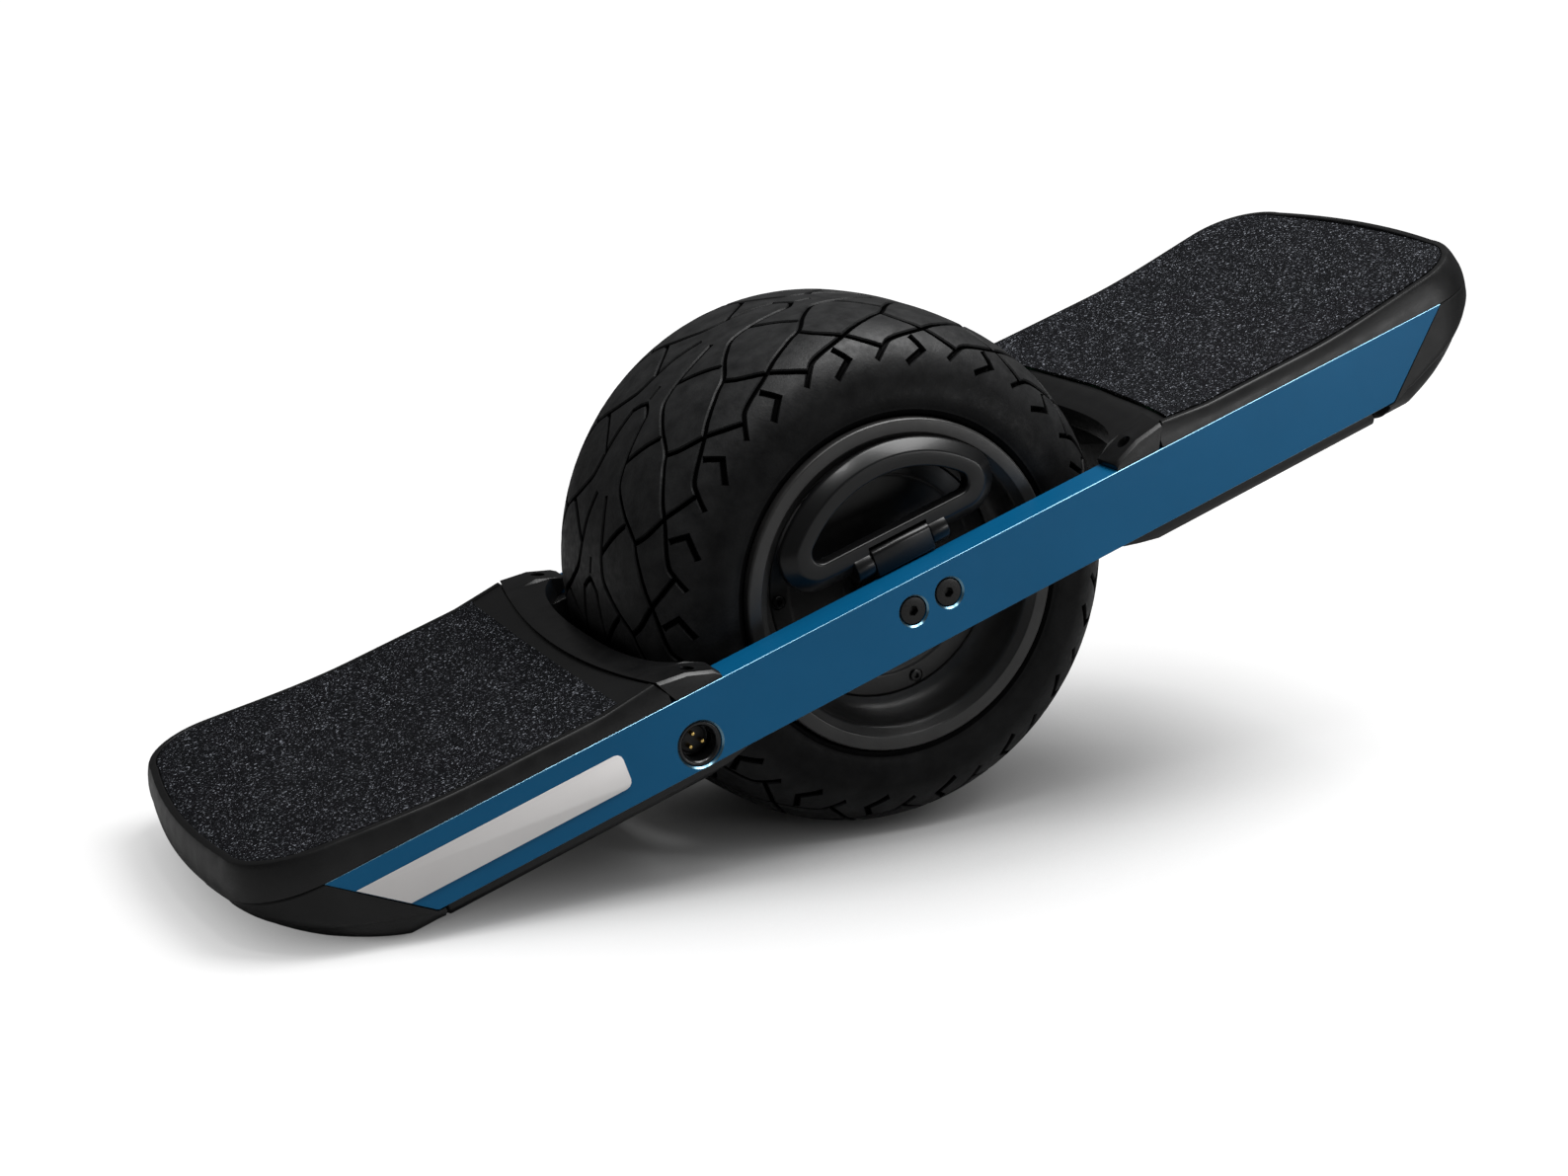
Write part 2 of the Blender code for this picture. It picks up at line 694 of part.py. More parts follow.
def joined_mesh(name, meshes):
    """Separate shapes in one mesh."""
    shape = bmesh.new()
    for mesh in meshes:
        shape.from_mesh(mesh)
        bpy.data.meshes.remove(mesh)
    result = bpy.data.meshes.new(name)
    shape.to_mesh(result)
    shape.free()
    return result


def moved(mesh, x=0.0, y=0.0, z=0.0):
    mesh.transform(Matrix.Translation((x, y, z)))
    return mesh


def screw_mesh(name, head_radius, head_height, shank_radius, length, segments=10):
    """A screw along z with the top of its head at z = 0, pointing down."""
    points = [(0, 0), (head_radius, 0), (head_radius, -head_height), (shank_radius, -head_height),
              (shank_radius, -length), (0, -length)]
    shape = bmesh.new()
    corners = [shape.verts.new((radius, 0, height)) for radius, height in points]
    edges = [shape.edges.new(pair) for pair in zip(corners, corners[1:])]
    bmesh.ops.spin(shape, geom=corners + edges, axis=(0, 0, 1), cent=(0, 0, 0), steps=segments,
                   angle=2 * math.pi, use_merge=True)
    bmesh.ops.remove_doubles(shape, verts=shape.verts, dist=0.000001)
    bmesh.ops.recalc_face_normals(shape, faces=shape.faces)
    mesh = bpy.data.meshes.new(name)
    shape.to_mesh(mesh)
    shape.free()
    return mesh


def stood(mesh, direction):
    """Turn a shape that points down -z so that it points along another axis."""
    turns = {'-Y': (math.pi / 2, 'X', -1), '+Y': (math.pi / 2, 'X', 1), '+Z': (math.pi, 'X', 1)}
    if direction in turns:
        angle, axis, sign = turns[direction]
        mesh.transform(Matrix.Rotation(angle * sign, 4, axis))
    return mesh


def cover_screw_heads(wheel, side):
    """The round heads of a cover's screws, one body with the cover."""
    heads = []
    face = side * HUB_HALF_WIDTH
    low, high = sorted((face - side * COVER_SCREW_HEIGHT, face + side * COVER_SCREW_HEIGHT))
    for angle in screw_places():
        head = rod_mesh("head", COVER_SCREW_RADIUS, low, high, 'Y', 8)
        heads.append(moved(head, COVER_SCREW_CIRCLE * math.cos(angle), 0, COVER_SCREW_CIRCLE * math.sin(angle)))
    return add_cutter("cover_screw_heads", joined_mesh("cover_screw_heads", heads), wheel)


def make_hub_cover(wheel, side, name):
    """A turned cover with a boss round its bearing and a lip in front of it."""
    face = HUB_HALF_WIDTH
    back = face - HUB_COVER_THICKNESS
    bearing_face = face - 0.0015
    boss = bearing_face - BEARING_WIDTH - GAP
    seat = on_flats(BEARING_OUTER_RADIUS, WHEEL_SEGMENTS) + GAP
    lip = BEARING_BORE_RADIUS + 0.0030
    profile = [
        (lip, face), (HUB_COVER_RADIUS, face), (HUB_COVER_RADIUS, back), (seat + 0.0080, back),
        (seat + 0.0060, boss), (seat, boss),
        (seat, bearing_face), (lip, bearing_face),
    ]
    if side < 0:
        profile = [(radius, -height) for radius, height in profile[::-1]]
    cover = turned_about_axle(name, profile, DARK_METAL, wheel)
    boolean(cover, cover_screw_heads(wheel, side), 'UNION')
    return cover


def magnet_back_radius():
    """Distance from the axle to the flats that the magnets sit on."""
    return ROTOR_BORE_RADIUS - GAP - ROTOR_RING_THICKNESS


def magnet_face_radius():
    """Distance from the axle to the magnets' inner faces."""
    return magnet_back_radius() - MAGNET_THICKNESS


def make_magnet_ring(wheel):
    """The steel ring pressed into the rim, with its flat magnets bonded round the inside."""
    outer_radius = ROTOR_BORE_RADIUS - GAP
    outer = arc((0, 0), outer_radius, 0, 360, WHEEL_SEGMENTS)[:-1]
    step = 2 * math.pi / MAGNET_COUNT
    half = magnet_face_radius() * math.tan(step / 2) * MAGNET_SHARE
    back = magnet_back_radius()
    inner = []
    for i in range(MAGNET_COUNT):
        for radius, along in ((back, -half), (magnet_face_radius(), -half), (magnet_face_radius(), half),
                              (back, half)):
            angle = step * i
            inner.append((radius * math.cos(angle) - along * math.sin(angle),
                          radius * math.sin(angle) + along * math.cos(angle)))
    mesh = side_outline_mesh("magnet_ring", [outer, inner], -MAGNET_LENGTH / 2, MAGNET_LENGTH / 2)
    return add_piece("magnet_ring", mesh, BRIGHT_STEEL, wheel, rotation=(0, math.pi / WHEEL_SEGMENTS, 0))


def make_bearing(wheel, side, name):
    face = side * (HUB_HALF_WIDTH - 0.0015 - GAP)
    back = face - side * (BEARING_WIDTH - GAP)
    low, high = min(face, back), max(face, back)
    bore = on_flats(BEARING_BORE_RADIUS)
    outer = BEARING_OUTER_RADIUS
    profile = [(bore, high), (outer, high), (outer, low), (bore, low)]
    return turned_about_axle(name, profile, BRIGHT_STEEL, wheel, SHAFT_SEGMENTS)


def make_axle(board):
    """The fixed axle, thick in the middle where it carries the stator."""
    thin = BEARING_BORE_RADIUS - GAP
    thick = STATOR_BORE_RADIUS - GAP
    half = [
        (thick, STATOR_LENGTH / 2 + 0.0010),
        (thin + 0.0030, STATOR_LENGTH / 2 + 0.0060),
        (thin, HUB_HALF_WIDTH - BEARING_WIDTH - 0.0025),
        (thin, AXLE_HALF_LENGTH - 0.0010),
        (thin - 0.0010, AXLE_HALF_LENGTH),
        (0.0, AXLE_HALF_LENGTH),
    ]
    return turned_about_axle("axle", both_sides(half), BRIGHT_STEEL, board, SHAFT_SEGMENTS, closed=False)


def stator_outline():
    """Teeth round a yoke, with wide tips that face the magnets."""
    tip = magnet_face_radius() - AIR_GAP
    neck = tip - 0.0040
    step = 2 * math.pi / TOOTH_COUNT
    points = []
    for i in range(TOOTH_COUNT):
        angle = step * i
        stem_root = math.asin(TOOTH_STEM / 2 / STATOR_YOKE_RADIUS)
        stem_neck = math.asin(TOOTH_STEM / 2 / neck)
        spread = step * 0.40
        for radius, turn_by in ((STATOR_YOKE_RADIUS, -stem_root), (neck, -stem_neck), (tip - 0.0015, -spread),
                                (tip, -spread), (tip, 0.0), (tip, spread), (tip - 0.0015, spread),
                                (neck, stem_neck), (STATOR_YOKE_RADIUS, stem_root)):
            points.append((radius * math.cos(angle + turn_by), radius * math.sin(angle + turn_by)))
    return points


def make_stator(board):
    half_step = 180 / SHAFT_SEGMENTS
    bore = arc((0, 0), on_flats(STATOR_BORE_RADIUS), half_step, 360 + half_step, SHAFT_SEGMENTS)[:-1]
    mesh = side_outline_mesh("stator_core", [stator_outline(), bore], -STATOR_LENGTH / 2, STATOR_LENGTH / 2)
    return add_piece("stator_core", mesh, DARK_METAL, board)


def make_windings(board):
    """One copper coil round the stem of each tooth."""
    neck = magnet_face_radius() - AIR_GAP - 0.0040
    low, high = STATOR_YOKE_RADIUS + 0.0018, neck - 0.0024
    inner_x = TOOTH_STEM / 2 + GAP
    inner_y = STATOR_LENGTH / 2 + GAP
    outer_x, outer_y = inner_x + COIL_THICKNESS, inner_y + COIL_THICKNESS
    coils = []
    for i in range(TOOTH_COUNT):
        frame = [(-outer_x, -outer_y), (outer_x, -outer_y), (outer_x, outer_y), (-outer_x, outer_y)]
        window = [(-inner_x, -inner_y), (-inner_x, inner_y), (inner_x, inner_y), (inner_x, -inner_y)]
        coil = outline_mesh("coil", [frame, window], low, high)
        coil.transform(Matrix.Rotation(math.pi / 2 + 2 * math.pi * i / TOOTH_COUNT, 4, 'Y'))
        coils.append(coil)
    windings = add_piece("stator_windings", joined_mesh("stator_windings", coils), COPPER, board)
    level = outer_y - COIL_THICKNESS / 2
    ring = [(low + 0.0060, level), (low + 0.0060, level + 0.0040), (low + 0.0015, level + 0.0040),
            (low + 0.0015, level)]
    leads = add_cutter("lead_ring", profile_mesh("lead_ring", ring[::-1]), board, rotation=(-math.pi / 2, 0, 0))
    turn(leads, TOOTH_COUNT)
    boolean(windings, leads, 'UNION')
    return windings


def make_axle_block(board, side, name):
    low_y, high_y = sorted((side * BLOCK_INNER, side * BLOCK_OUTER))
    mesh = block_mesh(name, (-AXLE_BLOCK_LENGTH / 2, low_y, AXLE_BLOCK_BOTTOM),
                      (AXLE_BLOCK_LENGTH / 2, high_y, AXLE_BLOCK_TOP))
    piece = add_piece(name, mesh, BLACK_STEEL, board)
    start, end = sorted((side * (BLOCK_INNER - 0.001), side * (AXLE_HALF_LENGTH + GAP)))
    bore = rod_mesh("axle_bore", on_flats(BEARING_BORE_RADIUS), start, end, 'Y', SHAFT_SEGMENTS, True)
    boolean(piece, add_cutter("axle_bore", bore, board))
    boolean(piece, bolt_cutter(board, side))
    return piece


def bolt_places():
    return (-AXLE_BOLT_SPACING / 2, AXLE_BOLT_SPACING / 2)


def bolt_length():
    """From the head's face in the rail to the tip in the axle block."""
    return HALF_WIDTH - AXLE_HALF_LENGTH - 0.0050


def bolt_cutter(board, side):
    """Stepped holes for the axle bolts, through a rail and into its axle block."""
    direction = '+Y' if side < 0 else '-Y'
    holes = []
    for x in bolt_places():
        hole = screw_mesh("hole", AXLE_BOLT_HEAD_RADIUS + 0.0006, AXLE_BOLT_RECESS + 0.002,
                          AXLE_BOLT_SHANK_RADIUS + GAP, bolt_length() + 0.0026, segments=BOLT_SEGMENTS)
        hole = stood(moved(hole, z=0.002), direction)
        holes.append(moved(hole, x, side * HALF_WIDTH, AXLE_BOLT_HEIGHT))
    return add_cutter("axle_bolt_holes", joined_mesh("axle_bolt_holes", holes), board)


def side_name(side):
    return "left" if side > 0 else "right"


def end_name(x):
    return "front" if x > 0 else "rear"


def make_axle_bolts(board):
    for side in (-1, 1):
        bolt = screw_mesh("axle_bolt", AXLE_BOLT_HEAD_RADIUS, AXLE_BOLT_HEAD, AXLE_BOLT_SHANK_RADIUS,
                          bolt_length() - AXLE_BOLT_RECESS + AXLE_BOLT_HEAD, segments=BOLT_SEGMENTS)
        stood(bolt, '+Y' if side < 0 else '-Y')
        height = side * (HALF_WIDTH - AXLE_BOLT_RECESS + AXLE_BOLT_HEAD + GAP)
        for x in bolt_places():
            name = "axle_bolt_" + side_name(side) + "_" + end_name(x)
            add_piece(name, bolt, BLACK_STEEL, board, location=(x, height, AXLE_BOLT_HEIGHT))


def rail_outline(margin=0.0, middle=0.0):
    """The rail seen from the side, grown by a margin, with its middle at this x."""
    along = margin * math.sqrt(1 + RAIL_SLANT ** 2)
    top, bottom = RAIL_TOP + margin, RAIL_BOTTOM - margin
    top_x = RAIL_TOP_LENGTH / 2 + RAIL_SLANT * margin + along
    bottom_x = RAIL_BOTTOM_LENGTH / 2 - RAIL_SLANT * margin + along
    corners = [(-top_x, top), (-bottom_x, bottom), (bottom_x, bottom), (top_x, top)]
    return [(middle + x, z) for x, z in corners]


def make_rail(board, side, name):
    low, high = sorted((side * RAIL_INNER, side * HALF_WIDTH))
    rail = add_piece(name, side_outline_mesh(name, [rail_outline(middle=MIDDLE_X)], low, high), BLUE, board)
    boolean(rail, bolt_cutter(board, side))
    return rail


def box_plan(half_width, arm_inner, arm_tip):
    """A box seen from above, with two arms that reach past the tyre's sides."""
    right = [(arm_tip, -arm_inner), (arm_tip, -half_width), (BOX_END, -half_width)]
    left = [(x, -y) for x, y in right[::-1]]
    return right + left + [(BOX_WHEEL_SIDE, arm_inner), (BOX_WHEEL_SIDE, -arm_inner)]


def make_box(end, name):
    """A deep tray that hangs between the rails, with a skirt under them."""
    arm_inner = BOX_HALF_WIDTH - BOX_ARM_THICKNESS
    tray = outline_mesh(name, [box_plan(BOX_HALF_WIDTH, arm_inner, BOX_ARM_TIP)], BOX_BOTTOM + 0.004, BOX_TOP)
    box = add_piece(name, tray, PLASTIC, end)
    skirt_half = RAIL_INNER + BOX_SKIRT
    plan = box_plan(skirt_half, arm_inner, BOX_ARM_TIP - 0.0020)
    skirt = outline_mesh("skirt", [plan], BOX_BOTTOM, RAIL_BOTTOM - GAP)
    skirt_joiner = add_cutter("skirt", skirt, end)
    bevel(skirt_joiner, 0.0035, 1, 60)
    boolean(box, skirt_joiner, 'UNION')
    slope = (BOX_ARM_HEEL - BOX_ARM_TIP) / BOX_ARM_LIFT
    room = 0.010
    heel = [(BOX_ARM_HEEL + room * slope, BOX_BOTTOM - room), (BOX_ARM_TIP - room, BOX_BOTTOM - room),
            (BOX_ARM_TIP - room, BOX_BOTTOM + BOX_ARM_LIFT + room / slope)]
    slant = side_outline_mesh("arm_slant", [heel], -HALF_WIDTH, HALF_WIDTH)
    boolean(box, add_cutter("arm_slant", slant, end))
    inside = block_mesh("tray_inside", (TRAY_START, -BOX_HALF_WIDTH + BOX_WALL, BOX_BOTTOM + BOX_WALL),
                        (TRAY_END, BOX_HALF_WIDTH - BOX_WALL, BOX_TOP + 0.01))
    boolean(box, add_cutter("tray_inside", inside, end))
    return box


def make_lid(end, name):
    mesh = block_mesh(name, (BOX_WHEEL_SIDE, -BOX_HALF_WIDTH, BOX_TOP + GAP),
                      (BOX_END, BOX_HALF_WIDTH, BOX_TOP + GAP + BOX_LID_THICKNESS))
    return add_piece(name, mesh, PLASTIC, end)


def make_battery_pack(rear):
    """Two rows of cells end to end under one shrink wrap, which follows the round cells."""
    pitch = 2 * CELL_RADIUS
    floor = BOX_BOTTOM + BOX_WALL + GAP
    start = TRAY_START + GAP
    first = -(CELLS_ACROSS - 1) / 2 * pitch
    last = -first
    low, high = floor + CELL_RADIUS, floor + CELL_RADIUS + (CELL_LAYERS - 1) * pitch
    ends = (0, CELLS_ACROSS - 1)
    runs = [((first + i * pitch, low), 240 if i == ends[0] else 210, 300 if i == ends[1] else 330)
            for i in range(CELLS_ACROSS)]
    runs += [((last, low + k * pitch), -60, 60) for k in range(CELL_LAYERS)]
    runs += [((last - i * pitch, high), 60 if i == ends[0] else 30, 120 if i == ends[1] else 150)
             for i in range(CELLS_ACROSS)]
    runs += [((first, high - k * pitch), 120, 240) for k in range(CELL_LAYERS)]
    outline = []
    for centre, start_angle, end_angle in runs:
        for point in arc(centre, CELL_RADIUS, start_angle, end_angle, 4):
            if not outline or math.dist(point, outline[-1]) > 0.00001:
                outline.append(point)
    if math.dist(outline[0], outline[-1]) < 0.00001:
        outline.pop()
    mesh = outline_mesh("battery_pack", [outline], 0, TRAY_END - PACK_END_ROOM - start)
    mesh.transform(Matrix.Rotation(math.pi / 2, 4, 'X'))
    mesh.transform(Matrix.Rotation(math.pi / 2, 4, 'Z'))
    mesh.transform(Matrix.Translation((start, 0, 0)))
    return add_piece("battery_pack", mesh, CELL_WRAP, rear)


def cells_top():
    return BOX_BOTTOM + BOX_WALL + GAP + 2 * CELL_RADIUS * CELL_LAYERS


def make_battery_board(rear):
    start = TRAY_START + GAP + BATTERY_BOARD_SETBACK
    low = cells_top() + GAP
    mesh = block_mesh("battery_board", (start, -BATTERY_BOARD_WIDTH / 2, low),
                      (start + BATTERY_BOARD_LENGTH, BATTERY_BOARD_WIDTH / 2, low + BOARD_THICKNESS))
    return add_piece("battery_board", mesh, BOARD_GREEN, rear)


def make_controller(front):
    """A finned heat sink on the tray's floor and the circuit board on it."""
    start = TRAY_START + CONTROLLER_SETBACK
    floor = BOX_BOTTOM + BOX_WALL + GAP
    low = -CONTROLLER_WIDTH / 2
    top = floor + HEAT_SINK_HEIGHT
    fins = 6
    pitch = CONTROLLER_WIDTH / (fins + fins - 1)
    outline = [(low, top), (low, floor)]
    for i in range(fins):
        edge = low + 2 * i * pitch
        outline += [(edge + pitch, floor)]
        if i < fins - 1:
            outline += [(edge + pitch, top - 0.005), (edge + 2 * pitch, top - 0.005), (edge + 2 * pitch, floor)]
    outline.append((-low, top))
    mesh = side_outline_mesh("heat_sink", [outline], -CONTROLLER_LENGTH / 2, CONTROLLER_LENGTH / 2)
    mesh.transform(Matrix.Rotation(math.pi / 2, 4, 'Z'))
    sink = add_piece("heat_sink", mesh, BRIGHT_STEEL, front, location=(start + CONTROLLER_LENGTH / 2, 0, 0))
    board_mesh = block_mesh("controller_board", (start, low, top + GAP),
                            (start + CONTROLLER_LENGTH, -low, top + GAP + BOARD_THICKNESS))
    return sink, add_piece("controller_board", board_mesh, BOARD_GREEN, front)


def lip_outline(inner_x, inset=0.0):
    """The deck's plan at its lip, or further in."""
    end_inset = LIP_END_INSET + inset
    side_inset = LIP_SIDE_INSET + inset
    return end_outline(deck_stations, inner_x, DECK_HALF_LENGTH - end_inset, HALF_WIDTH - side_inset,
                       CORNER_RADIUS - LIP_SIDE_INSET - inset)


def make_deck(end, name):
    """The moulded footpad: upright sides, a lip, a dished top that kicks up at the end."""
    inner_x = RISE_FOOT - RISE_LENGTH

    def share(level):
        return lambda x, y: DECK_BOTTOM + (deck_level(x) + GRIP_THICKNESS - DECK_BOTTOM) * level

    widest = end_outline(deck_stations, inner_x, DECK_HALF_LENGTH, HALF_WIDTH, CORNER_RADIUS)
    middle = end_outline(deck_stations, inner_x, DECK_HALF_LENGTH - LIP_END_INSET * 0.35,
                         HALF_WIDTH - LIP_SIDE_INSET * 0.3, CORNER_RADIUS - LIP_SIDE_INSET * 0.3)
    rings = [
        (widest, share(0.0)),
        (middle, share(0.55)),
        (lip_outline(inner_x), share(0.96)),
        (lip_outline(inner_x, 0.0010), share(1.0)),
        (lip_outline(inner_x, LIP_WIDTH - 0.0006), share(1.0)),
        (lip_outline(inner_x, LIP_WIDTH - 0.0003), deck_level),
    ]
    deck = add_piece(name, end_mesh(name, rings, DECK_COLUMNS, lambda x, y: DECK_BOTTOM, deck_level), PLASTIC, end)
    boolean(deck, add_cutter("deck_parting", parting_mesh(), end))
    hollow = block_mesh("deck_hollow", (PARTING_X + 0.006, -RAIL_INNER, DECK_BOTTOM - 0.001),
                        (RAIL_TOP_LENGTH / 2, RAIL_INNER, DECK_BOTTOM + DECK_THICKNESS * 0.35))
    boolean(deck, add_cutter("deck_hollow", hollow, end))
    boolean(deck, bumper_screw_cutter(end))
    return deck


def parting_mesh():
    """What the fender trim takes from the deck: a curved, slanted face and all on its wheel side."""
    sections = []
    for i in range(17):
        y = HALF_WIDTH * 1.04 * (i / 8 - 1)
        top = parting_x(y) + GAP / 2
        drop = parting_drop(PARTING_X, HALF_WIDTH)
        rise = drop / PARTING_SLANT
        sections.append([(0.10, y, DECK_BOTTOM - rise), (top - 2 * drop, y, DECK_BOTTOM - rise),
                         (top + 2 * drop, y, DECK_BOTTOM + 3 * rise), (0.10, y, DECK_BOTTOM + 3 * rise)])
    return loft_mesh("deck_parting", sections)


def sheet_mesh(name, inner_edge, inset, low, high, columns=DECK_COLUMNS):
    """A thin sheet that follows the deck, from the wheel side to the end."""
    shape = bmesh.new()
    outline = lip_outline(GRIP_START, inset)
    layers = []
    for lift in (low, high):
        rows = []
        for x, y in outline[:-1]:
            row = []
            for k in range(columns + 1):
                side = y * (1 - 2 * k / columns)
                share = max(0.0, 1 - (x - GRIP_START) / (RISE_FOOT - GRIP_START))
                along = x + (inner_edge(side) - GRIP_START) * share
                row.append(shape.verts.new((along, side, deck_level(along, side) + lift)))
            rows.append(row)
        x, y = outline[-1]
        tip = shape.verts.new((x, y, deck_level(x, y) + lift))
        for row, following in zip(rows, rows[1:]):
            for a, b, c, d in zip(row, row[1:], following[1:], following):
                shape.faces.new((a, b, c, d))
        for a, b in zip(rows[-1], rows[-1][1:]):
            shape.faces.new((a, b, tip))
        border = [row[0] for row in rows] + [tip] + [row[-1] for row in rows[::-1]] + rows[0][-2:0:-1]
        layers.append(border)
    for i, (a, b) in enumerate(zip(*layers)):
        j = (i + 1) % len(layers[0])
        shape.faces.new((a, b, layers[1][j], layers[0][j]))
    bmesh.ops.recalc_face_normals(shape, faces=shape.faces)
    mesh = bpy.data.meshes.new(name)
    shape.to_mesh(mesh)
    shape.free()
    return mesh


def make_grips(front, rear):
    """Grip tape on both decks, and the pressure film under the front one."""
    def straight(y):
        return GRIP_START

    def curved(y):
        return parting_x(y) + 0.0060

    film_top = GAP + SENSOR_THICKNESS
    add_piece("rear_grip_tape", sheet_mesh("rear_grip_tape", straight, LIP_WIDTH, GAP, GAP + GRIP_THICKNESS),
              GRIP, rear)
    add_piece("foot_sensor", sheet_mesh("foot_sensor", curved, LIP_WIDTH + SENSOR_MARGIN, GAP, film_top),
              BOARD_GREEN, front)
    low = film_top + GAP
    add_piece("front_grip_tape", sheet_mesh("front_grip_tape", curved, LIP_WIDTH, low, low + GRIP_THICKNESS),
              GRIP, front)


def fender_top(x, y):
    """Height of a trim's top: level with the deck's lip at the joint, falling towards the wheel."""
    run = parting_x(y) - GAP - x
    lip = deck_level(parting_x(HALF_WIDTH)) + GRIP_THICKNESS
    return lip - DECK_DISH * (1 - (y / HALF_WIDTH) ** 2) - FENDER_SLOPE * run


def make_fender(end, name):
    """The trim between deck and wheel: an arch over the tyre with an ear on each rail."""
    low = BOX_TOP + GAP
    step = BOX_TOP + BOX_LID_THICKNESS + 2 * GAP
    step_x = BOX_WHEEL_SIDE - GAP
    inner = BOX_HALF_WIDTH
    stations = [-HALF_WIDTH + LIP_SIDE_INSET * 0.1, -HALF_WIDTH + LIP_SIDE_INSET, -RAIL_INNER, -inner]
    stations += [-inner + inner * i / 6 for i in range(1, 6)] + [0.0]
    stations += [-y for y in stations[-2::-1]]
    sections = []
    for y in stations:
        back = parting_x(y) - GAP / 2
        foot = back - parting_drop(PARTING_X, HALF_WIDTH)
        if abs(y) > inner:
            lean = 0.0 if abs(y) < HALF_WIDTH - LIP_SIDE_INSET / 2 else EAR_TIP_HEIGHT * 0.5
            points = [(EAR_TIP_X, DECK_BOTTOM), (EAR_FRONT_X, DECK_BOTTOM), (EAR_BREAK_X, DECK_BOTTOM),
                      (foot, DECK_BOTTOM), (back, fender_top(back, y) - lean),
                      (EAR_BREAK_X, DECK_BOTTOM + EAR_BREAK_HEIGHT - lean),
                      (EAR_FRONT_X, DECK_BOTTOM + EAR_FRONT_HEIGHT - lean),
                      (EAR_TIP_X, DECK_BOTTOM + EAR_TIP_HEIGHT - lean)]
        else:
            front = arch_x(y)
            third = (back - front) / 3
            points = [(front, low), (step_x, low), (step_x, step), (foot, step), (back, fender_top(back, y)),
                      (back - third, fender_top(back - third, y)),
                      (front + third, fender_top(front + third, y)), (front, fender_top(front, y))]
        sections.append([(x, y, z) for x, z in points])
    fender = add_piece(name, loft_mesh(name, sections), PLASTIC, end)
    boolean(fender, fender_screw_cutter(end))
    return fender


def fender_screw_level():
    """Underside of a fender screw's head, sunk in the ear's slope."""
    return DECK_BOTTOM + EAR_FRONT_HEIGHT - 0.0030


def fender_screw_cutter(parent):
    """A sunk hole through each ear and on into the rail's top face."""
    depth = 0.0200
    holes = []
    for side in (-1, 1):
        hole = screw_mesh("hole", SMALL_SCREW_HEAD + GAP, depth, SMALL_SCREW_RADIUS + GAP,
                          depth + FENDER_SCREW_GRIP + GAP, segments=8)
        holes.append(moved(hole, TRIM_SCREW_X, side * TRIM_SCREW_Y, fender_screw_level() + depth))
    return add_cutter("fender_screw_holes", joined_mesh("fender_screw_holes", holes), parent)


def make_fender_screws(board):
    height = SMALL_SCREW_HEAD_HEIGHT
    screw = screw_mesh("fender_screw", SMALL_SCREW_HEAD, height, SMALL_SCREW_RADIUS,
                       height + FENDER_SCREW_GRIP - GAP, segments=8)
    height += fender_screw_level() + GAP
    for x in (-TRIM_SCREW_X, TRIM_SCREW_X):
        for side in (-1, 1):
            name = "fender_screw_" + side_name(side) + "_" + end_name(x)
            add_piece(name, screw, BLACK_STEEL, board, location=(MIDDLE_X + x, side * TRIM_SCREW_Y, height))


def bumper_screw_level():
    """Underside of a bumper screw's head, sunk from the skid."""
    return skid_level(BUMPER_SCREW_X) + BUMPER_SCREW_SINK


def bumper_screw_length():
    return DECK_BOTTOM + BUMPER_SCREW_BITE - bumper_screw_level()


def bumper_screw_cutter(parent):
    depth = 0.0200
    holes = []
    for side in (-1, 1):
        hole = screw_mesh("hole", SMALL_SCREW_HEAD + GAP, depth, SMALL_SCREW_RADIUS + GAP,
                          depth + bumper_screw_length() + GAP, segments=8)
        holes.append(moved(stood(hole, '+Z'), BUMPER_SCREW_X, side * BUMPER_SCREW_Y, bumper_screw_level() - depth))
    return add_cutter("bumper_screw_holes", joined_mesh("bumper_screw_holes", holes), parent)


def make_bumper_screws(board):
    head = SMALL_SCREW_HEAD_HEIGHT
    screw = screw_mesh("bumper_screw", SMALL_SCREW_HEAD, head, SMALL_SCREW_RADIUS,
                       head + bumper_screw_length() - GAP, segments=8)
    stood(screw, '+Z')
    for end in (-1, 1):
        for side in (-1, 1):
            name = "bumper_screw_" + side_name(side) + "_" + end_name(end)
            add_piece(name, screw, BLACK_STEEL, board,
                      location=(MIDDLE_X + end * BUMPER_SCREW_X, side * BUMPER_SCREW_Y,
                                bumper_screw_level() - head - GAP))


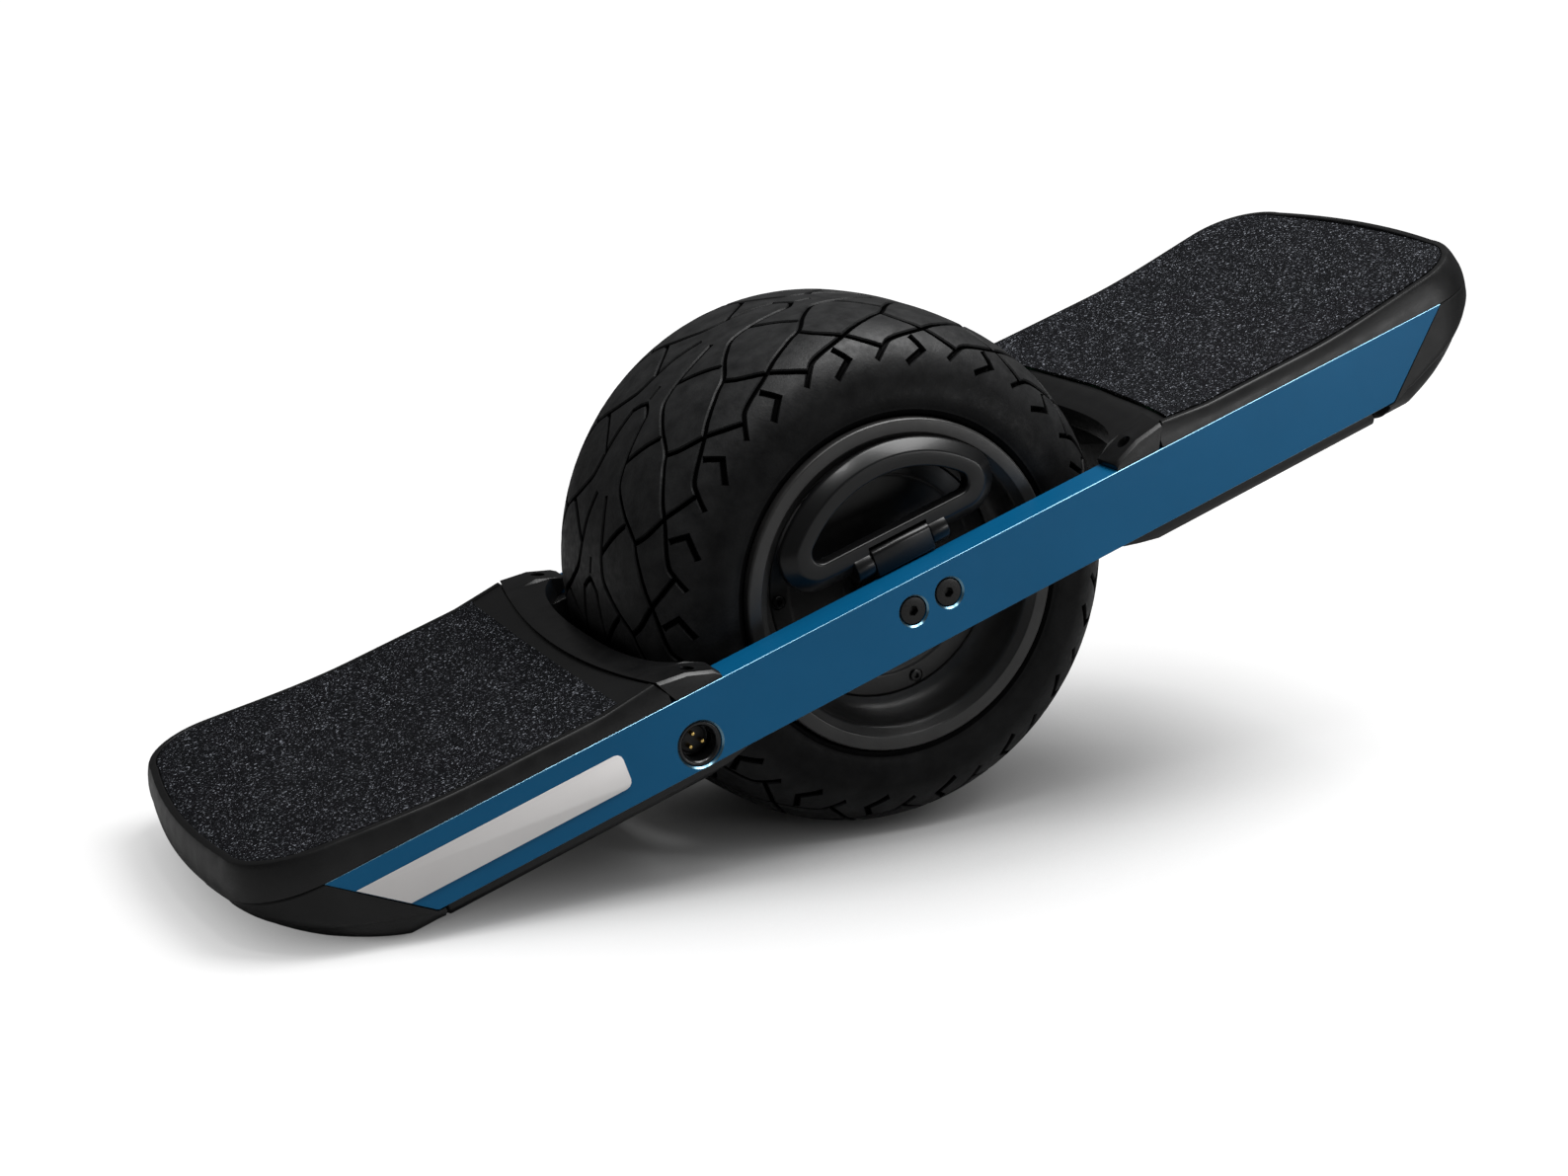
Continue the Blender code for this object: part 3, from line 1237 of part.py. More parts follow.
def make_bumper(end, name):
    """The nose under a deck end: upright sides, a rounded chin, a flat skid."""
    inner_x = BOX_END + GAP

    def plan(end_inset, side_inset):
        return end_outline(bumper_stations, inner_x, DECK_HALF_LENGTH - end_inset, HALF_WIDTH - side_inset,
                           CORNER_RADIUS - side_inset)

    def over_ground(height, clear):
        return lambda x, y: min(skid_level(x) + height, skirt_level(x) - clear)

    rings = [
        (plan(SKID_START, 0.0240), lambda x, y: skid_level(x)),
        (plan(SKID_START - 0.0190, 0.0130), over_ground(0.0025, 0.0080)),
        (plan(SKID_START - 0.0380, 0.0050), over_ground(0.0080, 0.0040)),
        (plan(SKID_START - 0.0510, 0.0015), over_ground(SKID_ROUND, 0.0015)),
        (plan(0.0015, 0.0), lambda x, y: skirt_level(x)),
        (plan(0.0, 0.0), lambda x, y: RAIL_TOP - GAP),
    ]
    mesh = end_mesh(name, rings, 1, lambda x, y: skid_level(x), lambda x, y: RAIL_TOP - GAP)
    bumper = add_piece(name, mesh, SIDE_PLASTIC, end)
    for side in (-1, 1):
        low, high = sorted((side * (RAIL_INNER - GAP), side * (HALF_WIDTH + 0.01)))
        notch = side_outline_mesh("rail_notch", [rail_outline(GAP)], low, high)
        boolean(bumper, add_cutter("rail_notch", notch, end))
    hollow = block_mesh("bumper_hollow", (inner_x - 0.001, -BUMPER_SCREW_Y + 0.010, BOX_BOTTOM + 0.018),
                        (BUMPER_SCREW_X + 0.020, BUMPER_SCREW_Y - 0.010, RAIL_TOP + 0.01))
    boolean(bumper, add_cutter("bumper_hollow", hollow, end))
    boolean(bumper, bumper_screw_cutter(end))
    boolean(bumper, light_slot(end))
    return bumper


def light_front():
    """The lens stands just behind the end's bowed face."""
    return DECK_HALF_LENGTH - END_BOW * (LIGHT_WIDTH / 2 / (HALF_WIDTH - CORNER_RADIUS)) ** 2 - 0.0025


def light_slot(end):
    mesh = block_mesh("light_slot", (light_front() - LIGHT_DEPTH, -LIGHT_WIDTH / 2, LIGHT_LEVEL - LIGHT_HEIGHT / 2),
                      (DECK_HALF_LENGTH + 0.01, LIGHT_WIDTH / 2, LIGHT_LEVEL + LIGHT_HEIGHT / 2))
    return add_cutter("light_slot", mesh, end)


def make_light(end, prefix):
    """A smoked lens bar and the strip of lamps behind it."""
    half = LIGHT_WIDTH / 2 - GAP
    low = LIGHT_LEVEL - LIGHT_HEIGHT / 2 + GAP
    high = LIGHT_LEVEL + LIGHT_HEIGHT / 2 - GAP
    back = light_front() - LIGHT_DEPTH + GAP
    strip = block_mesh(prefix + "_light_strip", (back, -half, low), (back + BOARD_THICKNESS, half, high))
    add_piece(prefix + "_light_strip", strip, BOARD_GREEN, end)
    lens = block_mesh(prefix + "_light_lens", (back + BOARD_THICKNESS + GAP, -half, low), (light_front(), half, high))
    lens_piece = add_piece(prefix + "_light_lens", lens, SMOKED, end)
    bevel(lens_piece, 0.0008, 1, 60)


def make_charge_port(board, right_rail):
    """A round socket in the right rail, with its insert of three pins on the floor."""
    face = -(HALF_WIDTH - PORT_RECESS)
    back = -(RAIL_INNER + GAP)
    radius = PORT_RADIUS
    hole = rod_mesh("port_hole", radius + GAP, -HALF_WIDTH - 0.002, -RAIL_INNER + 0.002, 'Y', 24)
    boolean(right_rail, add_cutter("port_hole", hole, board, location=(PORT_X, 0, PORT_Z)))
    floor = face + PORT_DEPTH
    profile = [(PORT_BORE_RADIUS, -face), (radius, -face), (radius, -back), (0.0, -back)]
    profile = [(0.0, -floor), (PORT_BORE_RADIUS, -floor)] + profile
    mesh = profile_mesh("charge_socket", profile, closed=False)
    socket = add_piece("charge_socket", mesh, GLOSS_BLACK, board, location=(PORT_X, 0, PORT_Z),
                       rotation=(math.pi / 2, 0, 0))
    turn(socket, 24)
    place = (PORT_X, 0, PORT_Z)
    seat = floor - GAP
    carrier = rod_mesh("port_contacts", PORT_BORE_RADIUS - 0.0015, seat - PIN_CARRIER, seat, 'Y', 20)
    contacts = add_piece("port_contacts", carrier, GOLD, board, location=place)
    pins = []
    for i in range(3):
        angle = math.radians(90 + 120 * i)
        pin = rod_mesh("pin", PIN_RADIUS, seat - PIN_LENGTH, seat - PIN_CARRIER / 2, 'Y', 8)
        pins.append(moved(pin, x=PIN_CIRCLE * math.cos(angle), z=PIN_CIRCLE * math.sin(angle)))
    boolean(contacts, add_cutter("pins", joined_mesh("pins", pins), board, location=place), 'UNION')


def make_power_button(board, left_rail):
    """A push button in a collar in the left rail."""
    collar_radius = BUTTON_RADIUS + GAP + BUTTON_COLLAR
    place = (PORT_X, 0, PORT_Z)
    hole = rod_mesh("button_hole", collar_radius + GAP, RAIL_INNER - 0.002, HALF_WIDTH + 0.002, 'Y', 24)
    boolean(left_rail, add_cutter("button_hole", hole, board, location=place))
    face = HALF_WIDTH - 0.0010
    back = face - 0.0090
    bore = BUTTON_RADIUS + GAP
    floor = back + 0.0020
    profile = [(0.0, floor), (bore, floor), (bore, face), (collar_radius, face), (collar_radius, back), (0.0, back)]
    collar = add_piece("button_collar", profile_mesh("button_collar", profile, closed=False), GLOSS_BLACK, board,
                       location=place, rotation=(-math.pi / 2, 0, 0))
    turn(collar, 24)
    rod = rod_mesh("power_button", BUTTON_RADIUS, floor + BUTTON_TRAVEL + GAP, face - 0.0002, 'Y', 24)
    button = add_piece("power_button", rod, GLOSS_BLACK, board, location=place)
    bevel(button, 0.0005, 1, 60)


def d_outline(radius, bottom, corner, steps):
    """A D lying on its straight side: an arc about the axle's height, round lower corners."""
    reach = math.sqrt((radius - corner) ** 2 - (bottom + corner) ** 2)
    lift = math.degrees(math.asin((bottom + corner) / (radius - corner)))
    points = arc((0, 0), radius, lift, 180 - lift, steps)
    points += arc((-reach, bottom + corner), corner, 180 - lift, 270, steps // 3)[1:]
    points += arc((reach, bottom + corner), corner, -90, lift, steps // 3)[:-1]
    return points


def make_handle(board):
    """A folding carry loop: its knuckles turn on a pin through the bracket's barrel."""
    hinge = add_empty("handle_hinge", board, location=(HANDLE_X, HINGE_Y, HINGE_Z))
    outer = [(x, z - HINGE_Z) for x, z in d_outline(LOOP_RADIUS, LOOP_BOTTOM, LOOP_CORNER, 15)]
    hole = [(x, z - HINGE_Z) for x, z in d_outline(LOOP_RADIUS - LOOP_BAR, LOOP_BOTTOM + LOOP_BAR - 0.0010,
                                                    0.0060, 12)]
    back = LOOP_BACK - HINGE_Y
    front = back - LOOP_THICKNESS
    loop = add_piece("handle_loop", side_outline_mesh("handle_loop", [outer, hole[::-1]], front, back),
                     GLOSS_BLACK, hinge)
    bevel(loop, LOOP_CHAMFER, 1, 50)
    half_barrel = BARREL_LENGTH / 2
    reach = half_barrel + GAP + KNUCKLE_LENGTH
    knuckles = rod_mesh("knuckles", BARREL_RADIUS, -reach, reach, 'X', 16, True)
    boolean(loop, add_cutter("knuckles", knuckles, hinge), 'UNION')
    room = BARREL_RADIUS + 0.0010
    gap_mesh = block_mesh("barrel_room", (-half_barrel - GAP, -0.02, -0.02), (half_barrel + GAP, 0.02, room))
    boolean(loop, add_cutter("barrel_room", gap_mesh, hinge))
    bore = rod_mesh("hinge_bore", HINGE_PIN_RADIUS + GAP, -0.05, 0.05, 'X', 12)
    boolean(loop, add_cutter("hinge_bore", bore, hinge))
    magnet = rod_mesh("handle_magnet", HANDLE_MAGNET_RADIUS, back - HANDLE_MAGNET_THICKNESS, back - 0.0002, 'Y', 12)
    pockets = []
    for side in (-1, 1):
        z = LOOP_BOTTOM + LOOP_BAR / 2 - HINGE_Z
        add_piece("handle_magnet_" + end_name(side), magnet, BRIGHT_STEEL, hinge, location=(side * 0.040, 0, z))
        pocket = rod_mesh("pocket", HANDLE_MAGNET_RADIUS + GAP, back - HANDLE_MAGNET_THICKNESS - GAP,
                          back + 0.01, 'Y', 12)
        pockets.append(moved(pocket, x=side * 0.040, z=z))
    boolean(loop, add_cutter("magnet_pockets", joined_mesh("magnet_pockets", pockets), hinge))
    return hinge


def make_handle_bracket(board):
    """The fixed half of the hinge, standing on the right axle block."""
    foot_y = -BLOCK_OUTER - HINGE_Y
    foot_z = AXLE_BLOCK_TOP + GAP - HINGE_Z
    half = BARREL_LENGTH / 2
    mesh = block_mesh("handle_bracket", (-half, foot_y, foot_z), (half, 0.0080, foot_z + 0.0036))
    bracket = add_piece("handle_bracket", mesh, GLOSS_BLACK, board, location=(HANDLE_X, HINGE_Y, HINGE_Z))
    place = (HANDLE_X, HINGE_Y, HINGE_Z)
    web = block_mesh("bracket_web", (-half, -0.0045, foot_z + 0.001), (half, 0.0045, 0.0))
    boolean(bracket, add_cutter("bracket_web", web, board, location=place), 'UNION')
    barrel = rod_mesh("barrel", BARREL_RADIUS, -half, half, 'X', 16, True)
    boolean(bracket, add_cutter("barrel", barrel, board, location=place), 'UNION')
    bore = rod_mesh("bracket_bore", HINGE_PIN_RADIUS + GAP, -0.05, 0.05, 'X', 12)
    boolean(bracket, add_cutter("bracket_bore", bore, board, location=place))
    reach = half + GAP + KNUCKLE_LENGTH - 0.0005
    pin = rod_mesh("hinge_pin", HINGE_PIN_RADIUS, -reach, reach, 'X', 12)
    add_piece("hinge_pin", pin, BRIGHT_STEEL, board, location=place)


def make_motor_lead(board):
    """The lead from the hollow axle's block to the gland in the front box's arm."""
    y = (TYRE_HALF_WIDTH + RAIL_INNER) / 2 + 0.0005
    start = AXLE_BLOCK_LENGTH / 2 + GAP
    gland_start = MIDDLE_X + BOX_ARM_TIP - GAP - GLAND_LENGTH
    end = gland_start - GAP
    steps = 14
    curve = bpy.data.curves.new("motor_lead", 'CURVE')
    curve.dimensions = '3D'
    curve.bevel_depth = LEAD_RADIUS
    curve.bevel_resolution = 2
    curve.use_fill_caps = True
    spline = curve.splines.new('POLY')
    spline.points.add(steps)
    for i, point in enumerate(spline.points):
        share = i / steps
        sag = LEAD_SAG * math.sin(math.pi * share) ** 2
        point.co = (start + (end - start) * share, y, LEAD_LEVEL - sag, 1)
    lead = bpy.data.objects.new("motor_lead", curve)
    PARTS.objects.link(lead)
    lead.parent = board
    curve.materials.append(make_material(RUBBER))
    gland = rod_mesh("lead_gland", LEAD_RADIUS + GLAND_WALL, gland_start, gland_start + GLAND_LENGTH, 'X', 6)
    add_piece("lead_gland", gland, PLASTIC, board, location=(0, y, LEAD_LEVEL))


def make_name_plate(board):
    """A bare silver plate on the right rail, cut off along the rail's slanted end."""
    def end_x(z):
        return MIDDLE_X - RAIL_BOTTOM_LENGTH / 2 - RAIL_SLANT * (z - RAIL_BOTTOM) + PLATE_MARGIN

    corner = 0.0040
    right = -PLATE_START
    points = [(end_x(PLATE_TOP), PLATE_TOP), (end_x(PLATE_BOTTOM), PLATE_BOTTOM)]
    points += arc((right - corner, PLATE_BOTTOM + corner), corner, -90, 0, 3)
    points += arc((right - corner, PLATE_TOP - corner), corner, 0, 90, 3)
    low = -HALF_WIDTH - GAP - PLATE_THICKNESS
    mesh = side_outline_mesh("name_plate", [points], low, -HALF_WIDTH - GAP)
    return add_piece("name_plate", mesh, SILVER, board)


def make_valve(wheel):
    """The tyre's valve, standing out of the rim's dish on the left side."""
    angle = math.radians(140)
    radius = (HUB_COVER_RADIUS + DISH_MOUTH_RADIUS) / 2 - 0.0010
    start = HUB_HALF_WIDTH + 0.0120
    mesh = rod_mesh("valve_stem", 0.0028, start - 0.0050, start + 0.0060, 'Y', 10)
    cutter = rod_mesh("valve_hole", 0.0028 + GAP, start - 0.0053, start + 0.03, 'Y', 10)
    place = (radius * math.cos(angle), 0, radius * math.sin(angle))
    add_piece("valve_stem", mesh, RUBBER, wheel, location=place)
    return add_cutter("valve_hole", cutter, wheel, location=place)


def build():
    clear_scene()
    wheel = add_empty("wheel_axis", location=(0, 0, TYRE_RADIUS))
    board = add_empty("board_frame", location=(0, 0, TYRE_RADIUS), rotation=(0, -TILT, 0))
    front = add_empty("front_end", board, location=(MIDDLE_X, 0, 0))
    rear = add_empty("rear_end", board, location=(MIDDLE_X, 0, 0), rotation=(0, 0, math.pi))

    make_tyre(wheel)
    rim = make_rim(wheel)
    boolean(rim, make_valve(wheel))
    make_hub_cover(wheel, -1, "hub_cover_right")
    make_hub_cover(wheel, 1, "hub_cover_left")
    make_magnet_ring(wheel)
    make_bearing(wheel, -1, "bearing_right")
    make_bearing(wheel, 1, "bearing_left")

    make_axle(wheel)
    make_stator(board)
    make_windings(board)
    make_axle_block(board, -1, "axle_block_right")
    make_axle_block(board, 1, "axle_block_left")
    make_axle_bolts(board)
    right_rail = make_rail(board, -1, "rail_right")
    left_rail = make_rail(board, 1, "rail_left")
    fender_holes = [fender_screw_cutter(front), fender_screw_cutter(rear)]
    for rail in (right_rail, left_rail):
        for holes in fender_holes:
            boolean(rail, holes)
    make_charge_port(board, right_rail)
    make_power_button(board, left_rail)
    make_name_plate(board)

    for end, prefix, box_name in ((front, "front", "controller_box"), (rear, "rear", "battery_box")):
        make_box(end, box_name)
        make_lid(end, box_name + "_lid")
        make_deck(end, prefix + "_footpad")
        make_fender(end, prefix + "_fender")
        make_bumper(end, prefix + "_bumper")
        make_light(end, prefix)
    make_grips(front, rear)
    make_fender_screws(board)
    make_bumper_screws(board)
    make_battery_pack(rear)
    make_battery_board(rear)
    make_controller(front)
    make_motor_lead(board)
    make_handle(board)
    make_handle_bracket(board)


PARTS = make_collection("one_wheel_skateboard")
CUTTERS = make_collection("cutters")
build()
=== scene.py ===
# %% [markdown]
# # A one-wheeled electric board, dressed for its portrait
# A parked self-balancing board: one fat tyre in the middle, a footpad on each side of it, and two
# blue rails that carry everything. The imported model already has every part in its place, so this
# lesson gives each part the shape and the finish that a close look at the real one shows.

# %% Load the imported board
import json
import math

import bmesh
import bpy
from mathutils import Matrix, Vector


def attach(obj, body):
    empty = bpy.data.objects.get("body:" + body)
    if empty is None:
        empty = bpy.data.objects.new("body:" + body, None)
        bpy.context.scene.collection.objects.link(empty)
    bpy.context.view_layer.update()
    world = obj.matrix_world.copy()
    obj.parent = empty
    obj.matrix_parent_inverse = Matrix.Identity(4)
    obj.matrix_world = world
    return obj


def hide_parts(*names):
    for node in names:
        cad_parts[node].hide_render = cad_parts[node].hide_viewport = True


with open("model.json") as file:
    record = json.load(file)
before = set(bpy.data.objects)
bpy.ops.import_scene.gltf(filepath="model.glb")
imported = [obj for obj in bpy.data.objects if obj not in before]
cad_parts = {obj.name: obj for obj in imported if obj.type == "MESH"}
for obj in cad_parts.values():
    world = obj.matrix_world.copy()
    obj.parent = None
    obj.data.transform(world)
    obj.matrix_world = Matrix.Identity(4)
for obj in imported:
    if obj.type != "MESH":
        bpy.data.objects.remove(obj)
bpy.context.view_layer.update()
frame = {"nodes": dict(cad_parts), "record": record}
nodes = frame["nodes"]

# %% [markdown]
# ## Two frames of reference
# The board is parked with its rear end on the ground, so nothing on it is level. It is much easier to
# model a deck that is level and turn it at the end. Sizes are therefore written in the board's own
# frame, with its origin on the axle, X along the board, Y across it and Z square to the deck. One
# matrix puts a finished shape where it belongs. The two ends are the same moulding, so a second pair
# of matrices puts an end at the front or, turned round, at the rear.

# %% The board's frame and its two ends
TILT = math.radians(20.2)
WHEEL_RADIUS = 0.144
MIDDLE_X = 0.0025

WHEEL = Matrix.Translation((0, 0, WHEEL_RADIUS))
BOARD = WHEEL @ Matrix.Rotation(-TILT, 4, 'Y')
FRONT = BOARD @ Matrix.Translation((MIDDLE_X, 0, 0))
REAR = FRONT @ Matrix.Rotation(math.pi, 4, 'Z')
ENDS = {"front": FRONT, "rear": REAR}
SIDES = {"right": -1, "left": 1}
print("the deck leans", round(math.degrees(TILT), 1), "degrees")

# %% [markdown]
# ## The camera
# The photograph was taken from the right side, a little behind and above. A camera object keeps that
# view in its matrix. The lens is a 63 mm one on a 36 mm wide sensor, and the small shift moves the
# picture without turning the camera, as cropping a photograph does.

# %% Set up the camera
camera_data = bpy.data.cameras.new("portrait_camera")
camera = bpy.data.objects.new("portrait_camera", camera_data)
bpy.context.scene.collection.objects.link(camera)
camera_data.sensor_width = 36.0
camera_data.lens = 62.99
camera_data.shift_x = -0.02992
camera_data.shift_y = -0.02329
camera_data.clip_start = 0.05
camera.matrix_world = Matrix((
    (0.89655, 0.10086, -0.4313, -0.66166),
    (-0.44292, 0.21242, -0.87103, -1.33625),
    (0.00377, 0.97196, 0.23512, 0.50469),
    (0, 0, 0, 1)))
bpy.context.scene.camera = camera
print("camera at", [round(v, 3) for v in camera.location])

# %% [markdown]
# ## The finishes
# A finish is a small graph of shader nodes. One helper makes the graph that nearly every finish here
# shares: a base colour that wanders a little, a roughness that wanders with it, and a fine grain that
# only tilts the light. Object coordinates keep the pattern fixed to the piece when a joint moves it.

# %% A helper for finishes
FINISHES = {}


def link(tree, start, end):
    tree.links.new(start, end)


def feed(tree, value, socket):
    """Link another node's output to a socket, or write a plain value into it."""
    if isinstance(value, bpy.types.NodeSocket):
        link(tree, value, socket)
    else:
        socket.default_value = value


def new_finish(name, roughness, metallic=0.0, coat=0.0, specular=0.5):
    """A material with a Principled shader on it, and the parts of its graph that get more nodes."""
    finish = bpy.data.materials.new(name)
    finish.use_nodes = True
    tree = finish.node_tree
    shader = tree.nodes["Principled BSDF"]
    shader.inputs["Roughness"].default_value = roughness
    shader.inputs["Metallic"].default_value = metallic
    shader.inputs["Coat Weight"].default_value = coat
    shader.inputs["Specular IOR Level"].default_value = specular
    place = tree.nodes.new("ShaderNodeTexCoord")
    FINISHES[name] = finish
    return finish, tree, shader, place.outputs["Object"]


def noise(tree, place, scale, detail=4.0, roughness=0.55, stretch=None):
    """A cloudy pattern. Stretch squeezes it along an axis, as brushing does."""
    if stretch:
        mapping = tree.nodes.new("ShaderNodeMapping")
        mapping.inputs["Scale"].default_value = stretch
        link(tree, place, mapping.inputs["Vector"])
        place = mapping.outputs["Vector"]
    pattern = tree.nodes.new("ShaderNodeTexNoise")
    pattern.inputs["Scale"].default_value = scale
    pattern.inputs["Detail"].default_value = detail
    pattern.inputs["Roughness"].default_value = roughness
    link(tree, place, pattern.inputs["Vector"])
    return pattern.outputs["Fac"]


def spread(tree, value, low, high, to_low=0.0, to_high=1.0):
    """Stretch a pattern's values from one range to another."""
    node = tree.nodes.new("ShaderNodeMapRange")
    link(tree, value, node.inputs["Value"])
    for socket, number in (("From Min", low), ("From Max", high), ("To Min", to_low), ("To Max", to_high)):
        node.inputs[socket].default_value = number
    return node.outputs["Result"]


def blend_colours(tree, share, dark, light):
    """Mix two colours by a share. Each is three numbers, or the output of another node."""
    node = tree.nodes.new("ShaderNodeMix")
    node.data_type = 'RGBA'
    link(tree, share, node.inputs["Factor"])
    for colour, socket in ((dark, "A"), (light, "B")):
        feed(tree, (*colour, 1) if isinstance(colour, tuple) else colour, node.inputs[socket])
    return node.outputs["Result"]


def relief(tree, shader, height, distance, strength=1.0):
    """Tilt the light as a relief of this height would."""
    node = tree.nodes.new("ShaderNodeBump")
    node.inputs["Distance"].default_value = distance
    node.inputs["Strength"].default_value = strength
    link(tree, height, node.inputs["Height"])
    link(tree, node.outputs["Normal"], shader.inputs["Normal"])


def math_node(tree, operation, first, second):
    node = tree.nodes.new("ShaderNodeMath")
    node.operation = operation
    feed(tree, first, node.inputs[0])
    feed(tree, second, node.inputs[1])
    return node.outputs["Value"]


def length_of(tree, vector):
    node = tree.nodes.new("ShaderNodeVectorMath")
    node.operation = 'LENGTH'
    link(tree, vector, node.inputs[0])
    return node.outputs["Value"]


def openness(tree, distance, samples):
    """One where nothing stands within this distance, and less where more of the view is blocked."""
    node = tree.nodes.new("ShaderNodeAmbientOcclusion")
    node.samples = samples
    node.inputs["Distance"].default_value = distance
    return node.outputs["AO"]


def plain_finish(name, dark, light, roughness, metallic=0.0, cloud=40.0, grain=900.0, depth=0.00003, coat=0.0,
                 polish=0.06, specular=0.5, stretch=None):
    """The usual finish: cloudy colour, cloudy polish, fine grain."""
    finish, tree, shader, place = new_finish(name, roughness, metallic, coat, specular)
    share = spread(tree, noise(tree, place, cloud), 0.30, 0.70)
    link(tree, blend_colours(tree, share, dark, light), shader.inputs["Base Color"])
    wear = noise(tree, place, cloud * 2.7, 3.0)
    dullness = spread(tree, wear, 0.25, 0.75, roughness - polish, roughness + polish)
    link(tree, dullness, shader.inputs["Roughness"])
    relief(tree, shader, noise(tree, place, grain, 2.0, 0.5, stretch), depth)
    return finish


# %% [markdown]
# ## Metals, plastics and rubber
# The rails are anodised aluminium: a thin dye layer over metal, so they reflect like a metal but in
# blue. The decks and noses are moulded plastic with a fine spark-eroded texture. The handle is the
# same plastic from a polished mould. Each gets its own grain, because that grain is what the eye
# reads as the material long before it reads the colour.

# %% Finishes of the body
plain_finish("moulded plastic", (0.0022, 0.0023, 0.0025), (0.0038, 0.0039, 0.0042), 0.40, grain=1500.0,
             depth=0.00004, specular=0.42)
plain_finish("nose plastic", (0.0026, 0.0027, 0.0028), (0.0042, 0.0043, 0.0045), 0.46, grain=1300.0,
             depth=0.00005, specular=0.36)
plain_finish("gloss plastic", (0.0030, 0.0031, 0.0033), (0.0050, 0.0052, 0.0055), 0.27, grain=500.0,
             depth=0.00001, coat=0.15, specular=0.40)
plain_finish("satin black", (0.0025, 0.0026, 0.0028), (0.0034, 0.0035, 0.0037), 0.30, cloud=12.0,
             grain=2400.0, depth=0.000001, polish=0.02, coat=0.04, specular=0.36)
plain_finish("blue anodising", (0.0010, 0.0900, 0.2080), (0.0020, 0.1010, 0.2320), 0.36, metallic=0.12,
             cloud=14.0, grain=2200.0, depth=0.000012, polish=0.04, coat=0.05, specular=0.22)
# painted highlight: a lighter, fully metallic blue for the rails' chamfers, which paints a bright line along
# their edges
plain_finish("painted edge highlight", (0.1500, 0.2900, 0.3800), (0.1900, 0.3400, 0.4300), 0.28, metallic=1.0,
             cloud=60.0, grain=1800.0, depth=0.000005)
rubber = plain_finish("tyre rubber", (0.0110, 0.0112, 0.0116), (0.0260, 0.0263, 0.0268), 0.42, cloud=90.0,
                      grain=700.0, depth=0.00009, polish=0.12, specular=0.14)
plain_finish("dark cast metal", (0.0330, 0.0326, 0.0322), (0.0430, 0.0424, 0.0419), 0.36, metallic=0.45,
             cloud=60.0, grain=1400.0, depth=0.00002)
plain_finish("black cast metal", (0.0150, 0.0148, 0.0147), (0.0210, 0.0208, 0.0205), 0.40, metallic=0.35,
             cloud=60.0, grain=1400.0, depth=0.00002)
plain_finish("black steel", (0.0050, 0.0048, 0.0046), (0.0080, 0.0076, 0.0072), 0.28, metallic=0.3,
             grain=1800.0)
plain_finish("bright steel", (0.4600, 0.4650, 0.4700), (0.5800, 0.5850, 0.5900), 0.27, metallic=1.0,
             grain=1800.0, depth=0.00001, stretch=(1, 8, 1))
plain_finish("bright aluminium", (0.5400, 0.5450, 0.5500), (0.6600, 0.6650, 0.6700), 0.34, metallic=1.0,
             grain=1500.0)
plain_finish("steel laminations", (0.2200, 0.2180, 0.2150), (0.3200, 0.3170, 0.3120), 0.42, metallic=1.0,
             grain=600.0, depth=0.00010, stretch=(0.1, 6, 0.1))
plain_finish("silver plate", (0.7700, 0.7500, 0.7400), (0.8300, 0.8100, 0.8000), 0.46, metallic=0.45,
             cloud=9.0, grain=2600.0, depth=0.000006, stretch=(0.2, 1, 4))
plain_finish("copper enamel", (0.4200, 0.1500, 0.0550), (0.6200, 0.2500, 0.1000), 0.32, metallic=1.0,
             grain=900.0, depth=0.00012, stretch=(6, 0.2, 6))
plain_finish("gold plating", (0.7200, 0.4700, 0.1300), (0.8600, 0.6200, 0.2200), 0.22, metallic=1.0)
plain_finish("circuit board", (0.0050, 0.0700, 0.0280), (0.0100, 0.1150, 0.0450), 0.42, cloud=260.0)
plain_finish("cell wrap", (0.0300, 0.1150, 0.0900), (0.0500, 0.1650, 0.1300), 0.30, grain=300.0,
             depth=0.00008)
plain_finish("soft rubber", (0.0080, 0.0080, 0.0085), (0.0140, 0.0140, 0.0145), 0.58, grain=900.0)
plain_finish("smoked lens", (0.0030, 0.0028, 0.0030), (0.0050, 0.0046, 0.0050), 0.10, grain=200.0,
             depth=0.00001, coat=0.5)
print("finishes so far:", len(FINISHES))

# %% [markdown]
# ## Painted shade in the grooves and on the sidewalls
# A groove in rubber looks darker than the tread, because little light finds its way in. That shade
# is painted here: ambient occlusion over a few millimetres measures how hidden a point is, and it
# scales both the colour and the sheen of the rubber, so grooves stay dark from every side. Distance
# from the axle paints shade on a large scale: the sidewall comes out darker and duller than the tread.

# %% Paint shade into the tyre's grooves and onto its sidewalls
GROOVE_REACH = 0.0080
SHADED_SIDEWALL_RADIUS, LIT_TREAD_RADIUS = 0.112, 0.134
PAINTED_GROOVE_SHADE = (0.0012, 0.0012, 0.0013)

tree = rubber.node_tree
shader = next(node for node in tree.nodes if node.type == 'BSDF_PRINCIPLED')
place = next(node for node in tree.nodes if node.type == 'TEX_COORD').outputs["Object"]
to_axle = tree.nodes.new("ShaderNodeVectorMath")
to_axle.operation = 'MULTIPLY_ADD'
link(tree, place, to_axle.inputs[0])
to_axle.inputs[1].default_value = (1, 0, 1)
to_axle.inputs[2].default_value = (0, 0, -WHEEL_RADIUS)
# painted shade: nearer the axle, the sidewall is given a darker, duller rubber than the tread
radius_light_share = spread(tree, length_of(tree, to_axle.outputs["Vector"]), SHADED_SIDEWALL_RADIUS, LIT_TREAD_RADIUS, to_low=0.35)
open_air = spread(tree, openness(tree, GROOVE_REACH, samples=8), 0.62, 0.98, to_low=0.05)
